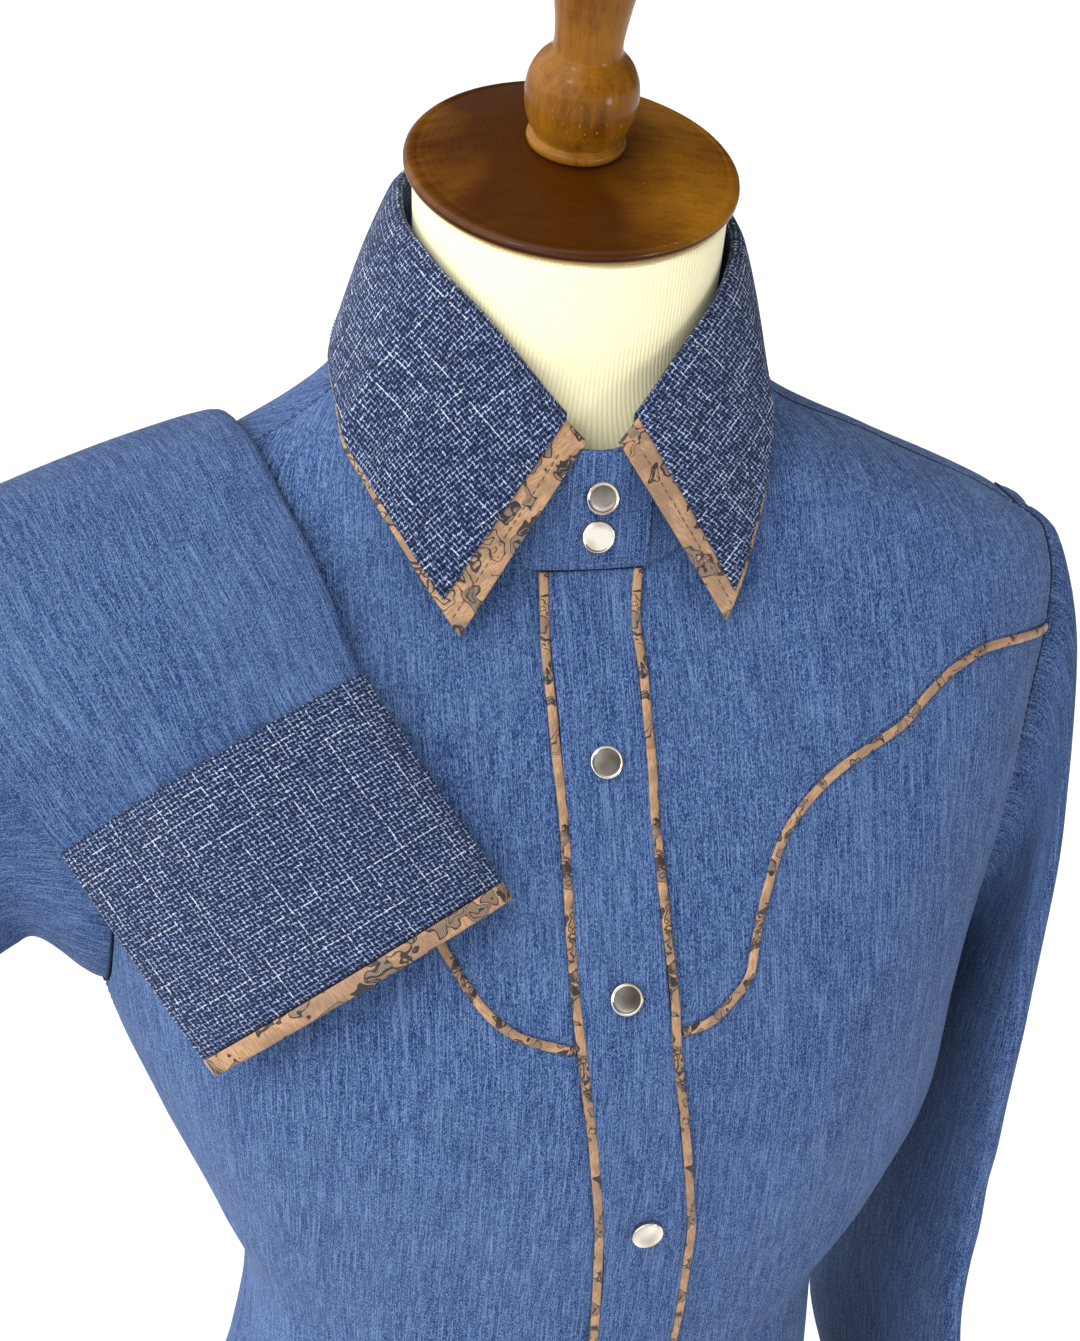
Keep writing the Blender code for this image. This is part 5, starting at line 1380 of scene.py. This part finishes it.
free = level_rows(finer(LEFT_SLEEVE, 5.0))
head = bridge(loop, loop_normals, loop_into, free[0], level_rows(LEFT_SLEEVE[:2])[1], 1)
left_rings = np.concatenate([head, free])
left_rings = crease(left_rings, ring_normals(left_rings), LEFT_MARKS, 0.6, 4.0)
sew_tube("sleeve_left", left_rings, sleeve_denim, 0.9, 30.0)

loop, loop_normals, loop_into = armhole_loop(-1)
free = flat_rows(finer(RIGHT_SLEEVE, 5.0), SLEEVE_CLEAR)
second = flat_rows(RIGHT_SLEEVE[:2], SLEEVE_CLEAR)[1]
head = bridge(loop, loop_normals, loop_into, free[0], second, -1)
right_rings = np.concatenate([head, free])
right_rings = crease(right_rings, ring_normals(right_rings), RIGHT_MARKS, 0.8, 9.0)
sew_tube("sleeve_right", right_rings, sleeve_denim, 0.9, 170.0)

# ---------------------------------------------------------------------------
# Cuffs and wrist trims
# Interlined cuffs of the navy and white tweed, topstitched where they take the
# sleeve, with the wrist edge bound in brocade.
# ---------------------------------------------------------------------------

CUFF_TWEED = tweed("tweed_cuffs", 7.0)
TRIM_BROCADE = brocade("brocade_trims", 1.3, 130.0)


def close_edge(rings, reach, depth):
    """Turn the two edges of a cuff in a little, as a seamed edge does."""
    run = run_along(rings.mean(axis=1))
    near = np.minimum(run, run[-1] - run)
    return rings - ring_normals(rings) * (depth * np.exp(-((near / reach) ** 2)))[:, None, None]


def wrist_trim(name, cuff_rings, step, slot):
    """Binding over the wrist edge: a rolled band wrapped round the last ring of the cuff."""
    last = cuff_rings[-1]
    along = unit(last - cuff_rings[-3])
    normals = ring_normals(cuff_rings)[-1]
    profile = [
        # along the sleeve past the cuff's edge, out from its middle
        (0.4, 0.75), (1.2, 0.95), (2.6, 1.0), (4.2, 1.0), (5.6, 0.95), (6.6, 0.75), (7.2, 0.3), (7.35, -0.2),
        (6.9, -0.7), (5.8, -0.9), (3.0, -0.95), (0.9, -0.9),
    ]
    rings = np.array([last + along * a * step + normals * o for a, o in profile])
    if winds_inward(rings):
        rings = rings[:, ::-1]
    girth = np.linalg.norm(np.diff(np.concatenate([last, last[:1]]), axis=0), axis=1).sum()
    rows = np.concatenate([rings, rings[:1]])
    weave = np.zeros((len(rows), RING + 1, 2))
    weave[..., 0] = np.linspace(0.0, girth, RING + 1)[None]
    weave[..., 1] = run_along(rows[:, 0])[:, None]
    piece = lay_mesh("cloth_" + name, rows, weave, ring=True)
    mend(piece.data, weld=True)
    finish_piece(piece, TRIM_BROCADE, slot)


left_cuff = close_edge(level_rows(finer(LEFT_CUFF, 3.0)), 1.6, 0.35)
sew_tube("cuff_left", left_cuff, CUFF_TWEED, 1.5)
wrist_trim("trim_left", left_cuff, 1.0, "cuff_trim_left")
right_cuff = close_edge(flat_rows(finer(RIGHT_CUFF, 3.0), CUFF_CLEAR), 1.6, 0.35)
sew_tube("cuff_right", right_cuff, CUFF_TWEED, 1.5, 40.0)
wrist_trim("trim_right", right_cuff, 1.0, "cuff_trim_right")

# ---------------------------------------------------------------------------
# Snap caps
# Pressed caps of bright plated brass with a rolled rim and a shallow dish, set
# through the placket, the stand and the cuffs; their sockets are hidden.
# ---------------------------------------------------------------------------

SNAP_PROFILE = [
    (0.0, 2.0), (1.6, 1.99), (3.2, 1.95), (4.3, 1.88), (4.75, 1.84), (4.95, 1.90), (5.15, 2.05), (5.35, 2.12),
    (5.55, 2.06), (5.7, 1.88), (5.8, 1.6), (5.82, 1.2), (5.75, 0.6), (5.6, 0.2), (5.3, 0.0), (0.0, 0.0),
]
SNAP_HEIGHTS = (705.5, 631.5, 539.0, 461.0, 384.0, 308.0)
STAND_SNAPS = (
    # degrees round the neck from the front, height
    (0.2, 792.0), (-0.4, 778.0),
)
CUFF_SNAP_SHARES = (0.275, 0.725)
CUFF_SNAP_COLUMNS = {"left": 60, "right": 72}
PLACKET_RISE = PLACKET_LIFT + 1.0
STAND_RISE = 1.25
CUFF_RISE = 0.95
metal = Finish("bright_plate", weave=False)
scuff = metal.cloudy(900, 900, 900, detail=3, seed=3.0)
# Painted reflection: broad light and dark blotches in the plate's colour stand for the mixed reflections on
# the caps.
painted_reflection = metal.between(metal.cloudy(95, 95, 95, detail=1, seed=5.0), 0.36, 0.62)
plate = metal.mixed(painted_reflection, (0.36, 0.30, 0.235, 1.0), (0.80, 0.75, 0.67, 1.0))
metal.set(
    Base_Color=plate, Metallic=1.0,
    Roughness=metal.between(scuff, 0.3, 0.7, 0.07, 0.15),
)
first_cap = turned("snap_cap", SNAP_PROFILE, 48, 0.25)
cap_mesh = first_cap.data
bpy.data.objects.remove(first_cap)


def set_snap(slot, foot, facing):
    """Stand a cap on the cloth at a foot point in millimetres."""
    piece = new_piece("cap_" + slot, cap_mesh.copy())
    facing = facing / np.linalg.norm(facing)
    yaw = math.atan2(facing[0], -facing[1])
    pitch = math.acos(max(-1.0, min(1.0, facing[2])))
    settle(piece, foot, (pitch, 0.0, yaw))
    finish_piece(piece, metal.material, slot)


for index, height in enumerate(SNAP_HEIGHTS):
    edges = smooth_curve(-PLACKET[:, 0], PLACKET[:, 1:], -height)[0]
    spot = np.array([angle_at(float(edges.mean()), height)]), np.array([height])
    foot = body_surface(*spot)[0]
    facing = body_normal(*spot)[0]
    set_snap("snap_placket_%d" % (index + 1), foot + facing * PLACKET_RISE, facing)

for index, (turn, height) in enumerate(STAND_SNAPS):
    near = stand_grid([359.0 + turn, 360.0 + turn, 361.0 + turn], [0.0, 1.0])
    share = (height - near[0, 1, 2]) / (near[1, 1, 2] - near[0, 1, 2])
    foot = near[0, 1] + (near[1, 1] - near[0, 1]) * share
    facing = np.cross(near[0, 2] - near[0, 0], near[1, 1] - near[0, 1])
    facing /= np.linalg.norm(facing)
    tip = np.array([0.0, 0.0, 0.26 - 0.12 * index])
    set_snap("snap_stand_%d" % (index + 1), foot + facing * STAND_RISE, facing + tip)

for cuff_name, rings in (("left", left_cuff), ("right", right_cuff)):
    faces_out = ring_normals(rings)
    column = CUFF_SNAP_COLUMNS[cuff_name]
    for index, share in enumerate(CUFF_SNAP_SHARES):
        row = int(round(share * (len(rings) - 1)))
        facing = faces_out[row, column]
        slot = "snap_cuff_%s_%d" % (cuff_name, index + 1)
        set_snap(slot, rings[row, column] + facing * CUFF_RISE, facing)

# ---------------------------------------------------------------------------
# Topstitching
# Denim blue thread, about nine stitches to the inch, along the edges, seams and
# hem, and tan thread along the collar points. Close dark stitches in the armhole
# and shoulder seams stand for the shadow that lies in the ditch of a seam.
# ---------------------------------------------------------------------------

STITCH_PITCH = 2.9
STITCH_LONG = 2.15
DITCH_PITCH = 1.9
STITCH_SWELL = (
    # share of the thread's thickness, rise off the cloth
    (0.25, -0.25), (0.85, 0.05), (1.0, 0.16), (0.85, 0.05), (0.25, -0.25),
)
thread = Finish("blue_thread", weave=False)
twist_mark = thread.cloudy(1500, 1500, 1500, detail=1, seed=2.0)
thread.set(
    Base_Color=thread.mixed(
        thread.between(twist_mark, 0.35, 0.65), (0.045, 0.090, 0.23, 1.0), (0.125, 0.195, 0.37, 1.0)
    ),
    Roughness=0.7,
)


def stitch_run(name, points, normals, thick=0.23, yarn=None, pitch=STITCH_PITCH):
    """Small rounded stitches along a line that lies on the cloth's outer face."""
    run = run_along(points)
    places = np.arange(1.2, run[-1] - STITCH_LONG - 0.5, pitch)
    vertices = []
    faces = []
    for place in places:
        spread = np.array([0.0, 0.12, 0.5, 0.88, 1.0]) * STITCH_LONG + place
        middle = np.stack([np.interp(spread, run, points[:, k]) for k in range(3)], -1)
        up = unit(np.stack([np.interp(spread, run, normals[:, k]) for k in range(3)], -1))
        way = middle[-1] - middle[0]
        way /= np.linalg.norm(way)
        sideways = np.cross(up, way)
        first = len(vertices)
        for k, (size, rise) in enumerate(STITCH_SWELL):
            for corner in range(6):
                turn = 2 * math.pi * corner / 6
                spoke = sideways[k] * math.cos(turn) + up[k] * math.sin(turn)
                spot = middle[k] + up[k] * rise + spoke * thick * size
                vertices.append(tuple(spot * MM))
        for k in range(4):
            for corner in range(6):
                nearby = (corner + 1) % 6
                a = first + k * 6
                faces.append((a + corner, a + nearby, a + 6 + nearby, a + 6 + corner))
        faces.append(tuple(first + corner for corner in reversed(range(6))))
        faces.append(tuple(first + 24 + corner for corner in range(6)))
    mesh = bpy.data.meshes.new(name)
    mesh.from_pydata(vertices, [], faces)
    mesh.update()
    mend(mesh)
    mesh.shade_smooth()
    finish_piece(new_piece(name, mesh), yarn or thread.material)


def inset_line(points, normals, edge, inset):
    """A line on a laid panel, a set distance in from one of its edges."""
    if edge in ("first", "last"):
        points = np.moveaxis(points, 1, 0)
        normals = np.moveaxis(normals, 1, 0)
    if edge in ("bottom", "last"):
        points = points[::-1]
        normals = normals[::-1]
    run = run_along(points)
    line = []
    facing = []
    for c in range(points.shape[1]):
        line.append([np.interp(inset, run[:, c], points[:, c, k]) for k in range(3)])
        facing.append([np.interp(inset, run[:, c], normals[:, c, k]) for k in range(3)])
    return np.array(line), np.array(facing)


def stitch_panel(name, panel, edge, inset, rise, start=0, end=None, yarn=None):
    """A row of stitches along one edge of a laid panel."""
    line, facing = inset_line(panel[0], panel[1], edge, inset)
    line = line[start:end]
    facing = facing[start:end]
    stitch_run(name, line + facing * rise, facing, yarn=yarn)


CLOTH_FACE = PANEL_THICK / 2 + 0.05
for side in ("right", "left"):
    outer = "last" if side == "left" else "first"
    yoke_panel, yoke_slot = panels["yoke_" + side], "front_yoke_" + side
    lower_panel, lower_slot = panels["front_" + side], "front_" + side
    stitch_panel("stitch_yoke_" + side, yoke_panel, "bottom", 3.4, CLOTH_FACE)
    stitch_panel("stitch_arm_upper_" + side, yoke_panel, outer, 5.5, CLOTH_FACE)
    stitch_panel("stitch_arm_lower_" + side, lower_panel, outer, 5.5, CLOTH_FACE, 0, 60)
    stitch_panel("stitch_hem_" + side, lower_panel, "bottom", 6.5, CLOTH_FACE)
stitch_panel("stitch_hem_back", panels["back"], "bottom", 6.5, CLOTH_FACE)
stitch_panel("stitch_back_yoke", panels["back_yoke"], "bottom", 2.2, CLOTH_FACE)
stitch_panel("stitch_back_yoke_two", panels["back_yoke"], "bottom", 8.0, CLOTH_FACE)
stitch_panel("stitch_shoulder", panels["back_yoke"], "top", 2.2, CLOTH_FACE)
# Near-black thread, laid in the armhole and shoulder seams as painted shadow in the seam ditches.
seam_shadow_thread = Finish("seam_shadow_thread", weave=False)
seam_shadow_thread.set(Base_Color=(0.006, 0.014, 0.050, 1.0), Roughness=0.9)
for side, name in ((-1, "right"), (1, "left")):
    loop, loop_normals, loop_into = armhole_loop(side)
    loop = loop + loop_into * 0.20 + loop_normals * (PANEL_LIFT + 0.10)
    whole = np.concatenate([loop, loop[:2]])
    whole_normals = np.concatenate([loop_normals, loop_normals[:2]])
    slot = "sleeve_" + name
    stitch_run("seam_shadow_arm_" + name, whole, whole_normals, 0.42, seam_shadow_thread.material, DITCH_PITCH)
# These two threads are named from the viewer's side instead.
for ridge, name in ((shoulder_plus, "right"), (shoulder_minus, "left")):
    ridge_points, ridge_normals = on_body(ridge)
    line = ridge_points + ridge_normals * (PANEL_LIFT + 0.30)
    slot = "front_yoke_" + name
    stitch_run("seam_shadow_shoulder_" + name, line, ridge_normals, 0.36, seam_shadow_thread.material, DITCH_PITCH)
band_panel = (band_points, band_normals)
stitch_panel("stitch_band_right", band_panel, "first", 2.6, 0.55)
stitch_panel("stitch_band_left", band_panel, "last", 2.6, 0.55)

under_panel = (under_points, under_normals)
tan_thread = Finish("tan_thread", weave=False)
tan_thread.set(Base_Color=(0.11, 0.062, 0.034, 1.0), Roughness=0.6)
for name, edge, inset in (("right", "first", 6.0), ("left", "last", 5.4)):
    yarn = tan_thread.material
    stitch_panel("stitch_point_" + name, under_panel, edge, inset, 0.5, 4, yarn=yarn)
fall_panel = (top_points, square_to(top_points))
stitch_panel("stitch_collar_edge", fall_panel, "bottom", 4.5, 0.5, 4, -4)
stand_panel = (stand_points, np.repeat(stand_out[None], len(stand_points), 0))
stitch_panel("stitch_stand_low", stand_panel, "bottom", 2.0, 0.65)
stitch_panel("stitch_stand_end", stand_panel, "last", 2.2, 0.65)
for side, rings in (("left", left_cuff), ("right", right_cuff)):
    faces_out = ring_normals(rings)
    closed = closed_round(rings)
    closed_out = closed_round(faces_out)
    stitch_panel("stitch_cuff_" + side, (closed, closed_out), "top", 3.0, 0.8)
    stitch_panel("stitch_wrist_" + side, (closed, closed_out), "bottom", 3.2, 0.8)

# ---------------------------------------------------------------------------
# Floor, light and camera
# A plain white floor in a white studio, brightest high toward -X and dimmer
# behind the camera and overhead. A soft key lamp stands high toward -X and a
# soft fill lamp low toward +X, both in front.
# ---------------------------------------------------------------------------

bpy.ops.object.select_all(action="DESELECT")
bpy.ops.mesh.primitive_plane_add(size=40.0, location=(0.0, 8.0, 0.0))
floor = bpy.context.object
floor.name = "floor"
bpy.ops.object.transform_apply(location=True, rotation=True, scale=True)
paper = bpy.data.materials.new("white_floor")
paper.use_nodes = True
paper_shader = paper.node_tree.nodes["Principled BSDF"]
paper_shader.inputs["Base Color"].default_value = (0.96, 0.96, 0.96, 1.0)
paper_shader.inputs["Roughness"].default_value = 0.95
floor.data.materials.append(paper)

world = bpy.data.worlds.new("studio")
bpy.context.scene.world = world
world.use_nodes = True
tree = world.node_tree
way = tree.nodes.new("ShaderNodeTexCoord").outputs["Generated"]


def toward(direction, low, high, to_low, to_high):
    """How bright the room is toward a direction, fading smoothly from one level to another."""
    dot = tree.nodes.new("ShaderNodeVectorMath")
    dot.operation = "DOT_PRODUCT"
    tree.links.new(way, dot.inputs[0])
    dot.inputs[1].default_value = Vector(direction).normalized()
    fade = tree.nodes.new("ShaderNodeMapRange")
    fade.interpolation_type = "SMOOTHSTEP"
    for key, value in (("From Min", low), ("From Max", high), ("To Min", to_low), ("To Max", to_high)):
        fade.inputs[key].default_value = value
    tree.links.new(dot.outputs["Value"], fade.inputs["Value"])
    return fade.outputs[0]


def product(a, b):
    times = tree.nodes.new("ShaderNodeMath")
    times.operation = "MULTIPLY"
    tree.links.new(a, times.inputs[0])
    tree.links.new(b, times.inputs[1])
    return times.outputs[0]


windows = toward((-0.75, -0.25, 0.62), -0.3, 1.0, 0.18, 3.3)
behind_camera = toward((0.15, -0.88, 0.45), 0.80, 0.96, 1.0, 0.20)
ceiling = toward((0.2, 0.45, 0.87), 0.55, 0.95, 1.0, 0.10)
room = tree.nodes["Background"]
tree.links.new(product(product(windows, behind_camera), ceiling), room.inputs["Strength"])
room.inputs["Color"].default_value = (1.0, 1.0, 1.0, 1.0)

LAMPS_AIM = Vector((0.0, 0.0, 0.75))
for lamp_name, place, power, size in (
    ("key", (-1.15, -1.35, 1.95), 5.0, 0.34), ("fill", (1.3, -1.5, 0.55), 6.5, 0.40),
):
    lamp = bpy.data.lights.new(lamp_name, "AREA")
    lamp.shape = "DISK"
    lamp.size = size
    lamp.energy = power
    holder = new_piece(lamp_name, lamp)
    holder.location = place
    holder.rotation_euler = (LAMPS_AIM - Vector(place)).to_track_quat("-Z", "Y").to_euler()

AZIMUTH = math.radians(-14.0)
ELEVATION = math.radians(21.0)
ROLL = math.radians(1.9)
DISTANCE = 1.034
LENS = 92.73
LOOK_AT = Vector((-0.003, 0.0, 0.7042))
back_way = Vector((
    math.sin(AZIMUTH) * math.cos(ELEVATION), -math.cos(AZIMUTH) * math.cos(ELEVATION), math.sin(ELEVATION)
))
right_way = (-back_way).cross(Vector((0.0, 0.0, 1.0))).normalized()
up_way = right_way.cross(-back_way).normalized()
rolled_right = right_way * math.cos(ROLL) + up_way * math.sin(ROLL)
rolled_up = up_way * math.cos(ROLL) - right_way * math.sin(ROLL)
camera_data = bpy.data.cameras.new("camera")
camera_data.sensor_fit = "HORIZONTAL"
camera_data.sensor_width = 36.0
camera_data.lens = LENS
camera_data.clip_end = 100.0
camera = new_piece("camera", camera_data)
turning = Matrix((rolled_right, rolled_up, back_way)).transposed().to_4x4()
camera.matrix_world = Matrix.Translation(LOOK_AT + back_way * DISTANCE) @ turning
bpy.context.scene.camera = camera
bpy.context.scene.view_settings.view_transform = "Standard"

bpy.context.view_layer.update()
